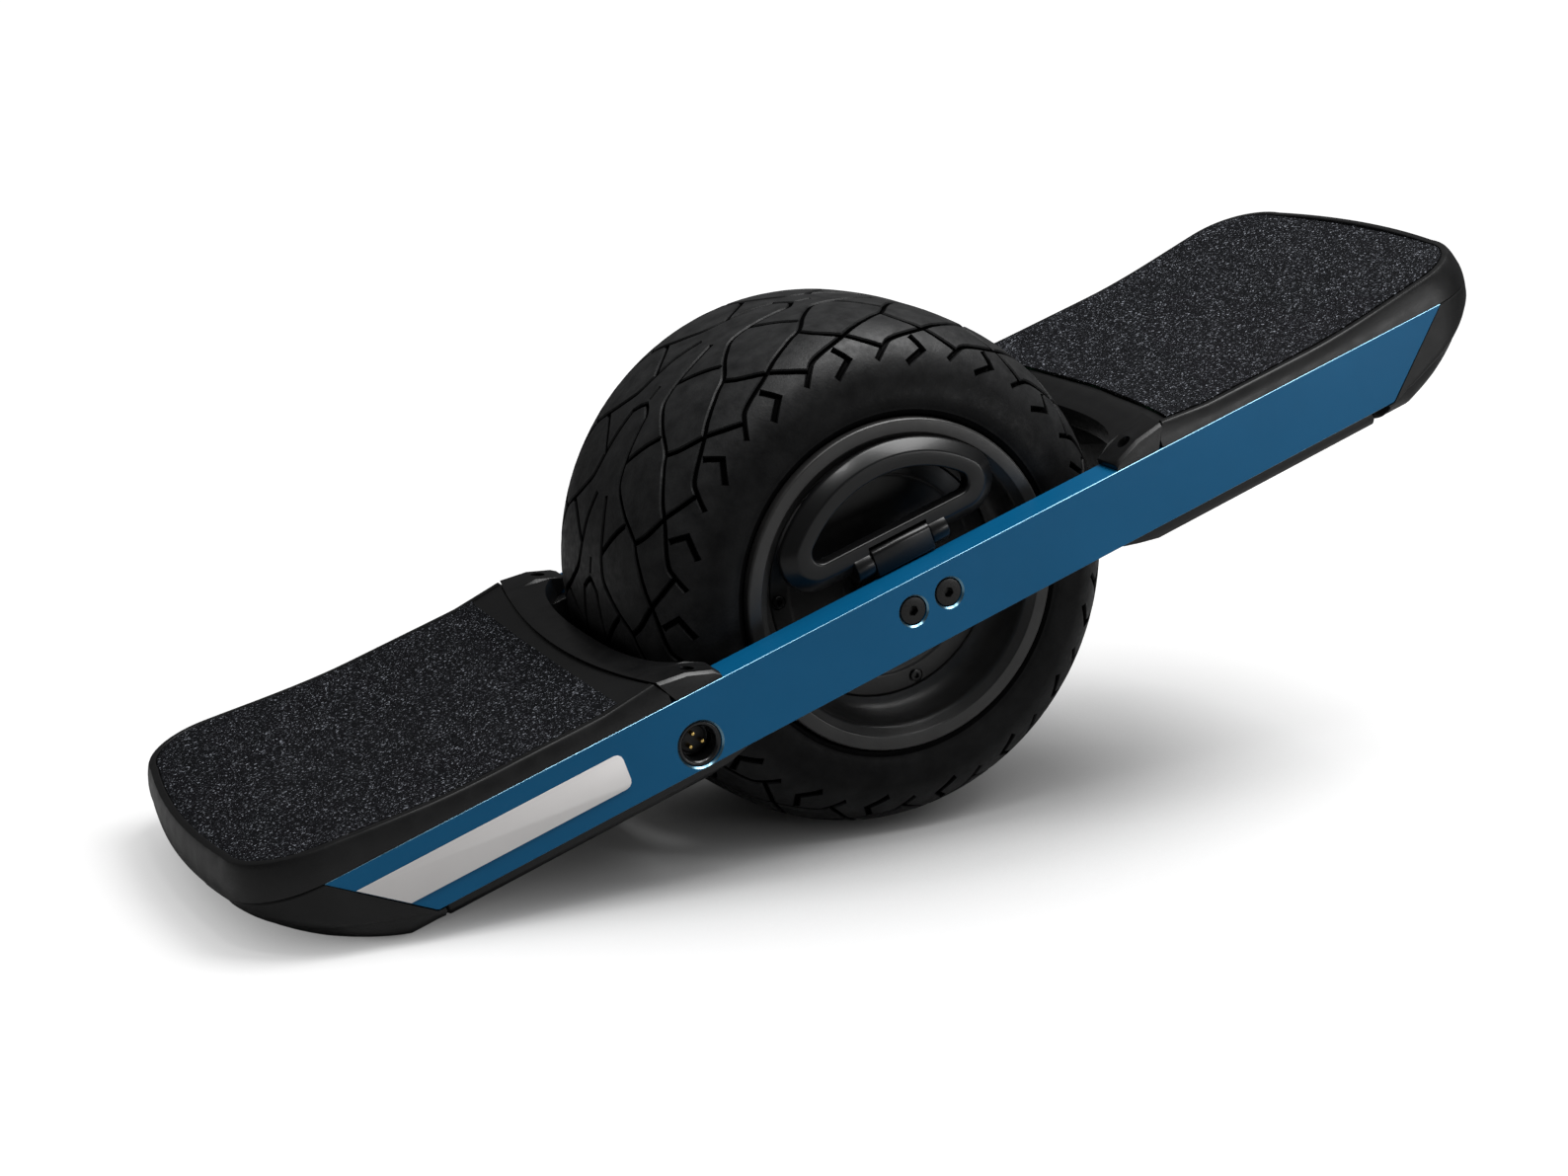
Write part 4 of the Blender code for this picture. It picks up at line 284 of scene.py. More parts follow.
# painted shade: grooves and sidewall get a darker colour and less sheen, which stand in for shade
painted_light_share = math_node(tree, 'MULTIPLY', open_air, radius_light_share)
colour_before = shader.inputs["Base Color"].links[0].from_socket
link(tree, blend_colours(tree, painted_light_share, PAINTED_GROOVE_SHADE, colour_before), shader.inputs["Base Color"])
link(tree, math_node(tree, 'MULTIPLY', painted_light_share, 0.20), shader.inputs["Specular IOR Level"])
print("the tyre's grooves darken over", round(GROOVE_REACH * 1000), "mm")

# %% [markdown]
# ## Grip tape
# Grip tape is coarse silicon-carbide grit glued to a sheet. Every grain has its own facets, so a few
# of them flash. Two Voronoi patterns of different grain give each cell a random value. A steep curve
# keeps most grains near black and lets the brightest few of them shine. The cells' distance gives the
# bumps.

# %% Finish of the grip tape
GRAINS_PER_METRE = 1200.0
FINE_GRAINS_PER_METRE = 2520.0
GRAIN_HEIGHT = 0.00025
tree, shader, place = new_finish("grip grit", 0.85, specular=0.10)[1:]


def grain_values(scale):
    """A Voronoi pattern: two random values for each grain, and the distance to its middle."""
    grains = tree.nodes.new("ShaderNodeTexVoronoi")
    grains.inputs["Scale"].default_value = scale
    link(tree, place, grains.inputs["Vector"])
    pick = tree.nodes.new("ShaderNodeSeparateColor")
    link(tree, grains.outputs["Color"], pick.inputs["Color"])
    return pick.outputs["Red"], pick.outputs["Green"], grains.outputs["Distance"]


coarse, shade, coarse_distance = grain_values(GRAINS_PER_METRE)
fine = grain_values(FINE_GRAINS_PER_METRE)[0]
coarse_flash = math_node(tree, 'POWER', coarse, 34.0)
fine_flash = math_node(tree, 'POWER', fine, 50.0)
flash = math_node(tree, 'MAXIMUM', coarse_flash, fine_flash)
ground_colour = blend_colours(tree, shade, (0.0006, 0.0007, 0.0011), (0.0050, 0.0054, 0.0072))
link(tree, blend_colours(tree, flash, ground_colour, (0.2700, 0.2850, 0.3200)), shader.inputs["Base Color"])
relief(tree, shader, coarse_distance, GRAIN_HEIGHT, strength=0.7)
print("grip tape grains are", round(1000 / GRAINS_PER_METRE, 2), "mm apart")

# %% [markdown]
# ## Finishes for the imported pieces
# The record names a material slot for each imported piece. This table says which finish stands for
# which slot, and every piece gets its finish through its existing material slots. The meshes stay
# as they were packed.

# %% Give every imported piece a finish
SLOT_FINISH = {
    "tyre_rubber": "tyre rubber", "soft_rubber": "soft rubber", "dark_metal": "dark cast metal",
    "bright_aluminium": "bright aluminium", "blue_anodised": "blue anodising", "black_metal": "black steel",
    "bright_steel": "bright steel", "core_steel": "steel laminations", "black_steel": "black steel",
    "copper_wire": "copper enamel", "gold_pin": "gold plating", "black_plastic": "moulded plastic",
    "bumper_plastic": "nose plastic", "grip_tape": "grip grit", "circuit_board": "circuit board",
    "cell_wrap": "cell wrap", "silver_plate": "silver plate", "smoked_lens": "smoked lens",
    "gloss_black": "gloss plastic",
}
record_slots = {part["node"]: part["material_slot"] for part in frame["record"]["subparts"]}
for name, item in nodes.items():
    finish = FINISHES[SLOT_FINISH[record_slots[name]]]
    item.data.materials.clear()
    item.data.materials.append(finish)
print("packed pieces with a finish:", len(record_slots))

# %% [markdown]
# ## Floor and light
# The picture has a white ground with only a soft shadow on it. A large plane catches that shadow. Paper
# that is lit at a plain level looks grey to a camera, so for a camera ray the floor adds the
# missing light to what the lamps give it. Ambient occlusion takes that addition away close to the board,
# which keeps the dark core of the contact shadow, most of all under the wheel. None of this light falls
# on the board.

# %% Make the floor
FLOOR_HALF = 12.0
SHADOW_REACH = 0.80
WHEEL_SHADOW, WIDE_SHADOW = 0.14, 0.32
HAZE_START, HAZE_END = 0.45, 1.20

floor_data = bpy.data.meshes.new("studio_floor")
floor_shape = bmesh.new()
bmesh.ops.create_grid(floor_shape, x_segments=2, y_segments=2, size=FLOOR_HALF)
floor_shape.to_mesh(floor_data)
floor_shape.free()
floor = bpy.data.objects.new("studio_floor", floor_data)
bpy.context.scene.collection.objects.link(floor)


def camera_share(tree):
    """One for camera and transmission rays, else nothing."""
    seen = tree.nodes.new("ShaderNodeLightPath")
    return math_node(tree, 'MAXIMUM', seen.outputs["Is Camera Ray"], seen.outputs["Is Transmission Ray"])


paper, tree, shader, place = new_finish("studio paper", 0.9, specular=0.0)
link(tree, blend_colours(tree, noise(tree, place, 3.0), (0.34, 0.34, 0.34), (0.36, 0.36, 0.36)),
     shader.inputs["Base Color"])
from_wheel = length_of(tree, place)
shadow_depth = spread(tree, from_wheel, WHEEL_SHADOW, WIDE_SHADOW, to_low=1.7, to_high=0.42)
open_sky = math_node(tree, 'POWER', openness(tree, SHADOW_REACH, samples=24), shadow_depth)
lift = spread(tree, from_wheel, HAZE_START, HAZE_END, to_low=0.72)
glow = math_node(tree, 'MULTIPLY', math_node(tree, 'MULTIPLY', open_sky, lift), camera_share(tree))
shader.inputs["Emission Color"].default_value = (1.0, 1.0, 1.0, 1)
link(tree, glow, shader.inputs["Emission Strength"])
floor_data.materials.append(paper)
print("the floor is", FLOOR_HALF * 2, "m wide")

# %% [markdown]
# The lamps are soft boxes: a large one above, a small one high over the camera and two at its right.
# The last is a low strip. It hardly lights anything, but the upright sides of the decks mirror it. The
# world gives the rest, and it is white only for the camera.

# %% Make the light
WORLD_LIGHT = 0.09

world = bpy.data.worlds.new("studio_world")
bpy.context.scene.world = world
world.use_nodes = True
tree = world.node_tree
backdrop = tree.nodes["Background"]
backdrop.inputs["Color"].default_value = (1.0, 1.0, 1.0, 1)
link(tree, spread(tree, camera_share(tree), 0.0, 1.0, to_low=WORLD_LIGHT), backdrop.inputs["Strength"])

AIM = Vector((0, 0, 0.15))
SOFT_BOXES = {
    "top_box": ((0.50, -0.35, 1.75), (1.1, 1.2), 42.0),
    "key_box": ((-0.40, -0.85, 1.70), (0.25, 0.25), 5.0),
    "side_box": ((1.7, -0.9, 0.9), (0.7, 1.2), 0.5),
    "strip_box": ((1.15, -1.55, 0.30), (0.9, 0.3), 5.5),
}
for name, (place, size, power) in SOFT_BOXES.items():
    data = bpy.data.lights.new(name, 'AREA')
    data.shape = 'RECTANGLE'
    data.size, data.size_y = size
    data.energy = power
    lamp = bpy.data.objects.new(name, data)
    lamp.location = place
    lamp.rotation_euler = (AIM - Vector(place)).to_track_quat('-Z', 'Y').to_euler()
    bpy.context.scene.collection.objects.link(lamp)
bpy.context.scene.view_settings.view_transform = 'Standard'
print("lamps:", len(SOFT_BOXES))

# %% [markdown]
# ## From a bmesh to a piece
# A bmesh is the editable form of a mesh. Every piece below ends the same way: points that coincide are
# merged, faces are turned outwards, the shape is put in its place, and only edges sharper than a given
# angle stay crisp when it is shaded. One helper does that, and another adds the piece to a moving body
# and hides the imported pieces it stands for.

# %% Helpers for pieces
def finished_mesh(shape, name, matrix=None, crisp=30.0):
    """Close the seams, face outwards, put in place, shade."""
    bmesh.ops.remove_doubles(shape, verts=shape.verts, dist=0.000005)
    bmesh.ops.recalc_face_normals(shape, faces=shape.faces)
    if matrix is not None:
        bmesh.ops.transform(shape, matrix=matrix, verts=shape.verts)
    mesh = bpy.data.meshes.new(name)
    shape.to_mesh(mesh)
    shape.free()
    mesh.shade_smooth()
    mesh.set_sharp_from_angle(angle=math.radians(crisp))
    return mesh


def add_piece(name, mesh, finish, body, stands_for, slot):
    """Put a piece in the scene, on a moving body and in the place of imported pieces."""
    item = bpy.data.objects.new(name, mesh)
    bpy.context.scene.collection.objects.link(item)
    mesh.materials.append(FINISHES[finish])
    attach(item, body)
    if stands_for:
        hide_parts(*stands_for)
    print(name, "has", sum(len(face.vertices) - 2 for face in mesh.polygons), "triangles")
    return item


def smooth_route(points, steps):
    """A soft curve through points (Catmull-Rom), as a list of points."""
    route = [Vector(p) for p in points]
    padded = [2 * route[0] - route[1]] + route + [2 * route[-1] - route[-2]]
    result = []
    for a, b, c, d in zip(padded, padded[1:], padded[2:], padded[3:]):
        for i in range(steps):
            t = i / steps
            result.append(0.5 * (2 * b + (c - a) * t + (2 * a - 5 * b + 4 * c - d) * t ** 2
                                 + (3 * b - a - 3 * c + d) * t ** 3))
    return result + [route[-1]]


def in_metres(points):
    return [tuple(v / 1000 for v in point) for point in points]


def rounded(points, steps=3, closed=False):
    """Points with corners replaced by short curves. A corner carries its radius third."""
    result = []
    count = len(points)
    for i, point in enumerate(points):
        here = Vector(point[:2])
        reach = point[2] if len(point) > 2 else 0.0
        if (not closed and i in (0, count - 1)) or reach <= 0:
            result.append(here)
            continue
        before, after = Vector(points[i - 1][:2]), Vector(points[(i + 1) % count][:2])
        reach = min(reach, (before - here).length * 0.49, (after - here).length * 0.49)
        start = here + (before - here).normalized() * reach
        end = here + (after - here).normalized() * reach
        for k in range(steps + 1):
            t = k / steps
            result.append((1 - t) ** 2 * start + 2 * t * (1 - t) * here + t ** 2 * end)
    return result


def edge_ring(shape, points):
    """A closed ring of edges through points."""
    corners = [shape.verts.new(point) for point in points]
    return [shape.edges.new(pair) for pair in zip(corners, corners[1:] + corners[:1])]


def lofted(rings, shape=None):
    """A closed skin through rings of equally many points, made by bridging each ring to the next."""
    shape = shape or bmesh.new()
    loops = [edge_ring(shape, points) for points in rings]
    for loop, following in zip(loops, loops[1:]):
        bmesh.ops.bridge_loops(shape, edges=loop + following)
    for loop in (loops[0], loops[-1]):
        bmesh.ops.edgeloop_fill(shape, edges=loop)
    return shape


def turned(profile, segments, closed=False, shape=None):
    """A profile of (radius, place along the axle) spun round the Y axis."""
    shape = shape or bmesh.new()
    corners = [shape.verts.new((radius, along, 0)) for radius, along in profile]
    pairs = list(zip(corners, corners[1:])) + ([(corners[-1], corners[0])] if closed else [])
    edges = [shape.edges.new(pair) for pair in pairs]
    bmesh.ops.spin(shape, geom=corners + edges, axis=(0, 1, 0), cent=(0, 0, 0), angle=2 * math.pi,
                   steps=segments, use_merge=True)
    return shape


def carved(mesh, cutter):
    """The mesh after a Boolean modifier has cut the cutter out of it."""
    target = bpy.data.objects.new("carving", mesh)
    tool = bpy.data.objects.new("carving_tool", cutter)
    for item in (target, tool):
        bpy.context.scene.collection.objects.link(item)
    step = target.modifiers.new("cut", 'BOOLEAN')
    step.object = tool
    step.operation = 'DIFFERENCE'
    step.solver = 'EXACT'
    step.use_self = True
    result = bpy.data.meshes.new_from_object(target.evaluated_get(bpy.context.evaluated_depsgraph_get()))
    for item in (target, tool):
        bpy.data.objects.remove(item, do_unlink=True)
    for used in (mesh, cutter):
        bpy.data.meshes.remove(used)
    return result


def bare_mesh(shape):
    """A mesh straight from a bmesh, for more work on it."""
    bmesh.ops.recalc_face_normals(shape, faces=shape.faces)
    mesh = bpy.data.meshes.new("work")
    shape.to_mesh(mesh)
    shape.free()
    return mesh


def as_shape(mesh):
    shape = bmesh.new()
    shape.from_mesh(mesh)
    return shape


def gathered(meshes):
    """Several meshes in one bmesh."""
    shape = bmesh.new()
    for mesh in meshes:
        shape.from_mesh(mesh)
        bpy.data.meshes.remove(mesh)
    return shape


def box_shape(low, high):
    """A box from its low corner to its high one."""
    shape = bmesh.new()
    bmesh.ops.create_cube(shape, size=1.0)
    bmesh.ops.scale(shape, vec=[b - a for a, b in zip(low, high)], verts=shape.verts)
    bmesh.ops.translate(shape, vec=[(a + b) / 2 for a, b in zip(low, high)], verts=shape.verts)
    return shape


def softened(shape, width, crisp, wanted=None):
    """Bevel the edges that are sharper than crisp degrees, or those of them that are wanted."""
    rims = [edge for edge in shape.edges
            if edge.calc_face_angle(0) > math.radians(crisp) and (wanted is None or wanted(edge))]
    bmesh.ops.bevel(shape, geom=rims, offset=width, segments=2, profile=0.5, affect='EDGES', material=-1,
                    clamp_overlap=True)
    return shape


def open_edges(shape):
    """How many edges don't have a face on each side. A closed shape has none."""
    return sum(len(edge.link_faces) != 2 for edge in shape.edges)


# %% [markdown]
# ## The tyre's tread
# The tread is a net of fine curved grooves that repeats every 20 degrees, with hooks on the shoulders.
# In the middle, every second pair of grooves is joined across. Modelling the whole ring by hand would
# be slow, and a bump texture would look flat at the silhouette. The pattern is drawn flat instead: a
# plate as long as two repeats is cut with tapered bars, sliced into strips so that it can bend, wrapped
# round the tyre's section, and then copied round nine times and mirrored to the other half.

# %% Routes of the grooves, in repeats along the tread and millimetres from its middle
REPEATS = 18
PITCH = 2 * math.pi * WHEEL_RADIUS / REPEATS
LONG_GROOVE = [(0.000, 8.9), (0.253, 11.4), (0.520, 13.8), (0.707, 15.9), (0.827, 18.7), (0.947, 25.2),
               (1.080, 33.8), (1.187, 42.4), (1.280, 48.1), (1.427, 52.2), (1.560, 56.2), (1.773, 61.6),
               (1.933, 66.0), (2.120, 69.6), (2.413, 74.2), (2.520, 78.3), (2.680, 86.0)]
CROSS_GROOVE = [(1.147, 36.2), (1.253, 29.3), (1.387, 22.0), (1.540, 14.6)]
SHOULDER_GROOVE = [(0.540, 79.0), (0.747, 72.6), (0.893, 66.9), (1.067, 61.1), (1.200, 55.4), (1.290, 48.6)]
HOOK = [(0.280, 89.7), (0.027, 81.5), (0.147, 72.6)]
JOINING_GROOVE = [(0.010, 9.2), (-0.067, 4.8), (-0.120, 0.0), (-0.067, -4.8)]
MIDDLE_SIPE = [(-0.360, 0.0), (-0.180, 0.0)]
TREAD_EDGE = 0.0945
GROOVE_CHAMFER, GROOVE_ABOVE, FLOOR_SHARE = 0.0008, 0.0006, 0.66


def tread_point(point):
    return Vector((point[0] * PITCH, point[1] / 1000, 0))


def groove_bar(shape, route, width, depth):
    """The groove's negative: a bar along a route, with chamfered upper edges and a narrower floor."""
    rings = []
    for i, point in enumerate(route):
        ahead = route[min(i + 1, len(route) - 1)] - point
        behind = point - route[max(i - 1, 0)]
        along = (ahead.normalized() + behind.normalized()).normalized()
        side = along.cross(Vector((0, 0, 1)))
        mitre = 1 / max(0.6, along.dot((ahead if ahead.length > 0 else behind).normalized()))
        half = width / 2 * mitre
        right = [(half + GROOVE_CHAMFER + GROOVE_ABOVE, GROOVE_ABOVE), (half, -GROOVE_CHAMFER),
                 (half * FLOOR_SHARE, -depth)]
        profile = right + [(-across, level) for across, level in right[::-1]]
        rings.append([point + side * across + Vector((0, 0, level)) for across, level in profile])
    lofted(rings, shape=shape)


bars = bmesh.new()
for repeat in range(-3, 3):
    offset = Vector((repeat * PITCH, 0, 0))

    def routed(points, steps=0):
        route = [tread_point(p) + offset for p in points]
        return smooth_route(route, steps) if steps else route

    joined = repeat % 2 == 0
    start = LONG_GROOVE if joined else [(-0.050, 6.4)] + LONG_GROOVE[1:]
    groove_bar(bars, routed(start, 3), width=0.0022, depth=0.0030)
    groove_bar(bars, routed(CROSS_GROOVE, 2), width=0.0023, depth=0.0034)
    groove_bar(bars, routed(SHOULDER_GROOVE, 2), width=0.0024, depth=0.0034)
    groove_bar(bars, routed(HOOK), width=0.0028, depth=0.0032)
    if joined:
        groove_bar(bars, routed(JOINING_GROOVE), width=0.0021, depth=0.0032)
        groove_bar(bars, routed(MIDDLE_SIPE), width=0.0012, depth=0.0016)
print("bars to cut with:", len(bars.verts), "points")

# %% [markdown]
# ## Cut, slice and wrap the tread
# After the cut, only the tread's upper side is kept. Slicing adds the points that bending needs, since
# a face can't bend inside. The section of the tyre was measured at eleven places across, and a soft curve
# runs through them.

# %% Cut the plate
PLATE_THICKNESS = 0.0080
STRIPS = 16
plate = box_shape((0, 0, -PLATE_THICKNESS), (2 * PITCH, TREAD_EDGE, 0))
tread = as_shape(carved(bare_mesh(plate), bare_mesh(bars)))
bmesh.ops.remove_doubles(tread, verts=tread.verts, dist=0.000002)
bmesh.ops.dissolve_limit(tread, angle_limit=math.radians(0.5), verts=tread.verts, edges=tread.edges)


def on_rim_of_plate(face):
    """True for the plate's upright ends and sides and for its underside."""
    middle = face.calc_center_median()
    flat_side = abs(face.normal.z) < 0.01 and (
        min(abs(middle.x), abs(middle.x - 2 * PITCH), abs(middle.y), abs(middle.y - TREAD_EDGE)) < 0.000002)
    return flat_side or middle.z < 0.0005 - PLATE_THICKNESS


bmesh.ops.delete(tread, geom=[f for f in tread.faces if on_rim_of_plate(f)], context='FACES')
for length, way in ((2 * PITCH, Vector((1, 0, 0))), (TREAD_EDGE, Vector((0, 1, 0)))):
    for i in range(1, STRIPS):
        bmesh.ops.bisect_plane(tread, geom=tread.verts[:] + tread.edges[:] + tread.faces[:], dist=0.0000002,
                               plane_co=way * (length * i / STRIPS), plane_no=way)
print("the cut plate has", len(tread.faces), "faces")

# %% Wrap it round the tyre's section
SECTION = [(0, 144.0), (15, 143.95), (30, 143.1), (45, 141.7), (58, 138.7), (68, 133.6), (76, 126.6),
           (82, 117.0), (85, 105.2), (85, 98.0), (83.2, 92.2)]
section_route = smooth_route([(y / 1000, r / 1000, 0) for y, r in SECTION], 8)
section_length = [0.0]
for a, b in zip(section_route, section_route[1:]):
    section_length.append(section_length[-1] + (b - a).length)


def on_section(distance):
    """Place and outward direction on the tyre's section, this far from the middle of the tread."""
    i = 0
    while i < len(section_length) - 2 and section_length[i + 1] < distance:
        i += 1
    a, b = section_route[i], section_route[i + 1]
    share = (distance - section_length[i]) / (section_length[i + 1] - section_length[i])
    before = section_route[max(i - 1, 0)]
    after = section_route[min(i + 2, len(section_route) - 1)]
    slope = (b - before).normalized().lerp((after - a).normalized(), share)
    if distance <= 0:
        slope = Vector((1, 0, 0))
    return a.lerp(b, share), Vector((-slope.y, slope.x, 0)).normalized()


for vert in tread.verts:
    angle = vert.co.x / WHEEL_RADIUS
    place, outward = on_section(vert.co.y)
    place = place + outward * vert.co.z
    vert.co = (place.y * math.cos(angle), place.x, place.y * math.sin(angle))
bent_plate = bare_mesh(tread)
print("the tread's edge is at", [round(v * 1000, 1) for v in on_section(TREAD_EDGE)[0][:2]], "mm")

# %% [markdown]
# ## Tread, sidewalls and beads in one skin
# The sidewalls are turned: one profile runs from the tread's edge over a few fine rings down to the
# bead, and back along the inside to the middle. It is spun in as many steps as the tread has strips, so
# that the two meet point for point and can be merged.

# %% Assemble the tyre
SIDE_RINGS = 22
RIB_RING, RIB_HEIGHT = 19, 0.0003
INSIDE = in_metres([(91.0, 81.3), (89.3, 81.0), (82.0, 80.0), (82.0, 69.0), (90.5, 69.0), (104.0, 76.5),
                    (118.0, 73.0), (129.0, 60.0), (134.0, 35.0), (135.0, 0.0)])
TREAD_TURN = Matrix.Rotation(-math.radians(22.4), 4, 'Y')

tyre = bmesh.new()
for mirrored in (1, -1):
    for i in range(REPEATS // 2):
        copy = as_shape(bent_plate)
        turn = Matrix.Rotation(-4 * math.pi / REPEATS * i, 4, 'Y')
        bmesh.ops.transform(copy, matrix=turn @ Matrix.Diagonal((1, mirrored, 1, 1)), verts=copy.verts)
        if mirrored < 0:
            bmesh.ops.reverse_faces(copy, faces=copy.faces)
        part = bpy.data.meshes.new("part")
        copy.to_mesh(part)
        copy.free()
        tyre.from_mesh(part)
        bpy.data.meshes.remove(part)

section_end = section_length[-1]
side_profile = []
for i in range(SIDE_RINGS + 1):
    distance = TREAD_EDGE + (section_end - TREAD_EDGE) * i / SIDE_RINGS
    place, outward = on_section(min(distance, section_end - 0.00001))
    if i == RIB_RING:
        place = place + outward * RIB_HEIGHT
    side_profile.append((place.y, place.x))
for mirrored in (1, -1):
    turned([(radius, along * mirrored) for radius, along in side_profile + INSIDE], REPEATS // 2 * STRIPS,
           shape=tyre)
tyre_mesh = finished_mesh(tyre, "tyre_rubber_skin", WHEEL @ TREAD_TURN, crisp=28.0)
add_piece("tyre_with_tread", tyre_mesh, "tyre rubber", "wheel", ["tyre"], "tyre_rubber")
check = as_shape(tyre_mesh)
print("open edges on the tyre:", open_edges(check))
check.free()

# %% [markdown]
# ## The rim
# The rim is turned, so its whole shape is one profile. Seen from outside it has a rounded flange that
# holds the tyre, a flat face, a slanted band and then a wall that sweeps down into the dish. Small
# curves at the corners matter more than anything else here: they are what catches the light.

# %% Turn the rim
def two_sided(half):
    """A half profile from outside to inside, followed by its mirror image."""
    return list(half) + [(radius, -along) for radius, along in half[::-1]]


BEAD_SEAT = in_metres([(74.5, 60.3), (81.5, 67.3), (81.5, 80.3)])
FLANGE = in_metres([(90.9, 81.6, 0), (90.9, 86.3, 0.7), (89.9, 87.3, 0.5), (83.2, 87.3, 0.5),
                    (82.6, 86.7, 0.3), (78.7, 84.3, 0.8), (77.7, 82.6, 0)])
DISH_WALL = in_metres([(77.7, 82.6, 0), (76.9, 77.5, 0), (75.0, 71.0, 0), (71.8, 66.0, 0), (67.5, 62.6, 0)])
COVER_SEAT = in_metres([(67.3, 62.0), (67.3, 56.2), (58.0, 56.2), (58.0, 35.0), (64.0, 33.0)])

rim_profile = BEAD_SEAT + rounded(FLANGE) + [p.xy for p in smooth_route(DISH_WALL, 4)[1:]] + COVER_SEAT
rim_shape = turned(two_sided(rim_profile), 128, closed=True)
add_piece("rim_turned", finished_mesh(rim_shape, "rim_turned", WHEEL, crisp=32.0), "dark cast metal", "wheel",
          ["rim"], "dark_metal")

# %% [markdown]
# ## Hub covers and their screws
# A cover closes the motor on each side. It is turned too, with a shallow recess that leaves a raised
# edge and a boss round the bearing. Seven socket screws sit in small round pockets near its edge. A hex
# socket is a hole with six sides, which a six-sided cutter makes.

# %% Turn the covers
COVER_FACE = 0.0620
COVER_PROFILE = in_metres([
    (13.0, 62.0, 0.4), (23.0, 62.0, 0.6), (24.2, 61.2, 0.6), (55.0, 61.2, 0.8), (56.4, 62.0, 0.6),
    (66.3, 62.0, 0.3), (67.0, 61.3, 0.3), (67.0, 56.5, 0), (29.3, 56.5, 0), (27.3, 48.2, 0),
    (21.3, 48.2, 0), (21.3, 60.5, 0), (13.0, 60.5, 0)])
COVER_SCREWS = 7
SCREW_CIRCLE = 0.0622
POCKET_RADIUS, POCKET_DEPTH = 0.0043, 0.0009
HEAD_RISE = 0.0010
HEAD_EDGE = 0.0006

cover_half = rounded(COVER_PROFILE, closed=True)
screw_angles = [TILT + math.radians(-90 + 360 * i / COVER_SCREWS) for i in range(COVER_SCREWS)]


def cover_place(angle, side, along):
    return Matrix.Translation((SCREW_CIRCLE * math.cos(angle), side * along, SCREW_CIRCLE * math.sin(angle)))


def facing(side):
    """Turns a shape that points along +Y to this side of the board."""
    return Matrix.Rotation(0.0 if side > 0 else math.pi, 4, 'Z')


def pin_shape(radius, low, high, segments=24, shape=None, matrix=Matrix()):
    """A round pin along Y."""
    shape = shape or bmesh.new()
    made = bmesh.ops.create_cone(shape, cap_ends=True, cap_tris=False, segments=segments, radius1=radius,
                                 radius2=radius, depth=high - low)
    place = Matrix.Translation((0, (low + high) / 2, 0)) @ Matrix.Rotation(-math.pi / 2, 4, 'X')
    bmesh.ops.transform(shape, matrix=matrix @ place, verts=made["verts"])
    return shape


def socket_screw(radius, height, socket, segments=28, depth=0.0016):
    """The head of a socket screw, its top at zero along +Y, with a six-sided hole."""
    profile = rounded([(0.0, 0.0), (radius, 0.0, HEAD_EDGE), (radius, -height), (0.0, -height)])
    hole = pin_shape(socket, -depth, 0.001, segments=6)
    return carved(bare_mesh(turned(profile, segments)), bare_mesh(hole))


for side_name, side in SIDES.items():
    cover = turned([(p.x, p.y * side) for p in cover_half], 128, closed=True)
    pockets = bmesh.new()
    heads = []
    for angle in screw_angles:
        spot = cover_place(angle, side, COVER_FACE)
        pin_shape(POCKET_RADIUS, -POCKET_DEPTH, POCKET_DEPTH, shape=pockets, matrix=spot)
        head = socket_screw(radius=0.0033, height=0.0022, socket=0.0017)
        head.transform(spot @ Matrix.Translation((0, side * HEAD_RISE, 0)) @ facing(side))
        heads.append(head)
    cover = as_shape(carved(bare_mesh(cover), bare_mesh(pockets)))
    add_piece("hub_cover_%s_turned" % side_name, finished_mesh(cover, "cover", WHEEL), "black cast metal",
              "wheel", ["hub_cover_" + side_name], "dark_metal")
    add_piece("hub_cover_%s_screws" % side_name, finished_mesh(gathered(heads), "screws", WHEEL),
              "black steel", "wheel", (), "black_steel")

# %% [markdown]
# ## The carry handle
# The handle is a D-shaped loop with strong chamfers. A loop like this is a section carried round a
# path. Here each corner of the section gets its own closed D, a little smaller the further in it lies.
# A grid is pulled onto these Ds and its ends are welded. That keeps the section's corners sharp all the
# way round.

# %% Make the loop
LOOP_RADIUS = 0.0810
LOOP_BOTTOM = 0.0218
LOOP_CORNER = 0.0190
LOOP_SECTION = in_metres([(0, 5.6, 1.2), (6.6, 0.2, 0.9), (14.2, 0.2, 0.9), (15, 1.4, 0.8), (15, 8.4, 0.8),
                          (14, 9.4, 0.6), (1.0, 9.4, 0.6), (0, 8.4, 0.8)])
LOOP_FRONT = -0.0976
HINGE = Vector((0.0020, -0.0920, 0.0240))
BARREL_RADIUS = 0.0078
BARREL_HALF = 0.0177
BARREL_EDGE = 0.0008
BARREL_ROOM_LOW, BARREL_ROOM_HIGH, BARREL_ROOM_DEPTH = 0.0198, 0.0092, 0.0200
KNUCKLE = 0.0105
GAP = 0.0003
HALF_WIDTH = 0.1180
RAIL_INNER = 0.0982


def arc_points(centre, radius, start, end, steps):
    """Points on an arc round a centre, with the start and the end in degrees."""
    angles = [math.radians(start + (end - start) * i / steps) for i in range(steps + 1)]
    return [(centre[0] + radius * math.cos(a), centre[1] + radius * math.sin(a)) for a in angles]


def mapped_grid(shape, columns, rows, place):
    """A grid whose points are pulled to place(u, v), with u and v from 0 to 1."""
    for vert in bmesh.ops.create_grid(shape, x_segments=columns, y_segments=rows, size=0.5)["verts"]:
        vert.co = place(vert.co.x + 0.5, vert.co.y + 0.5)


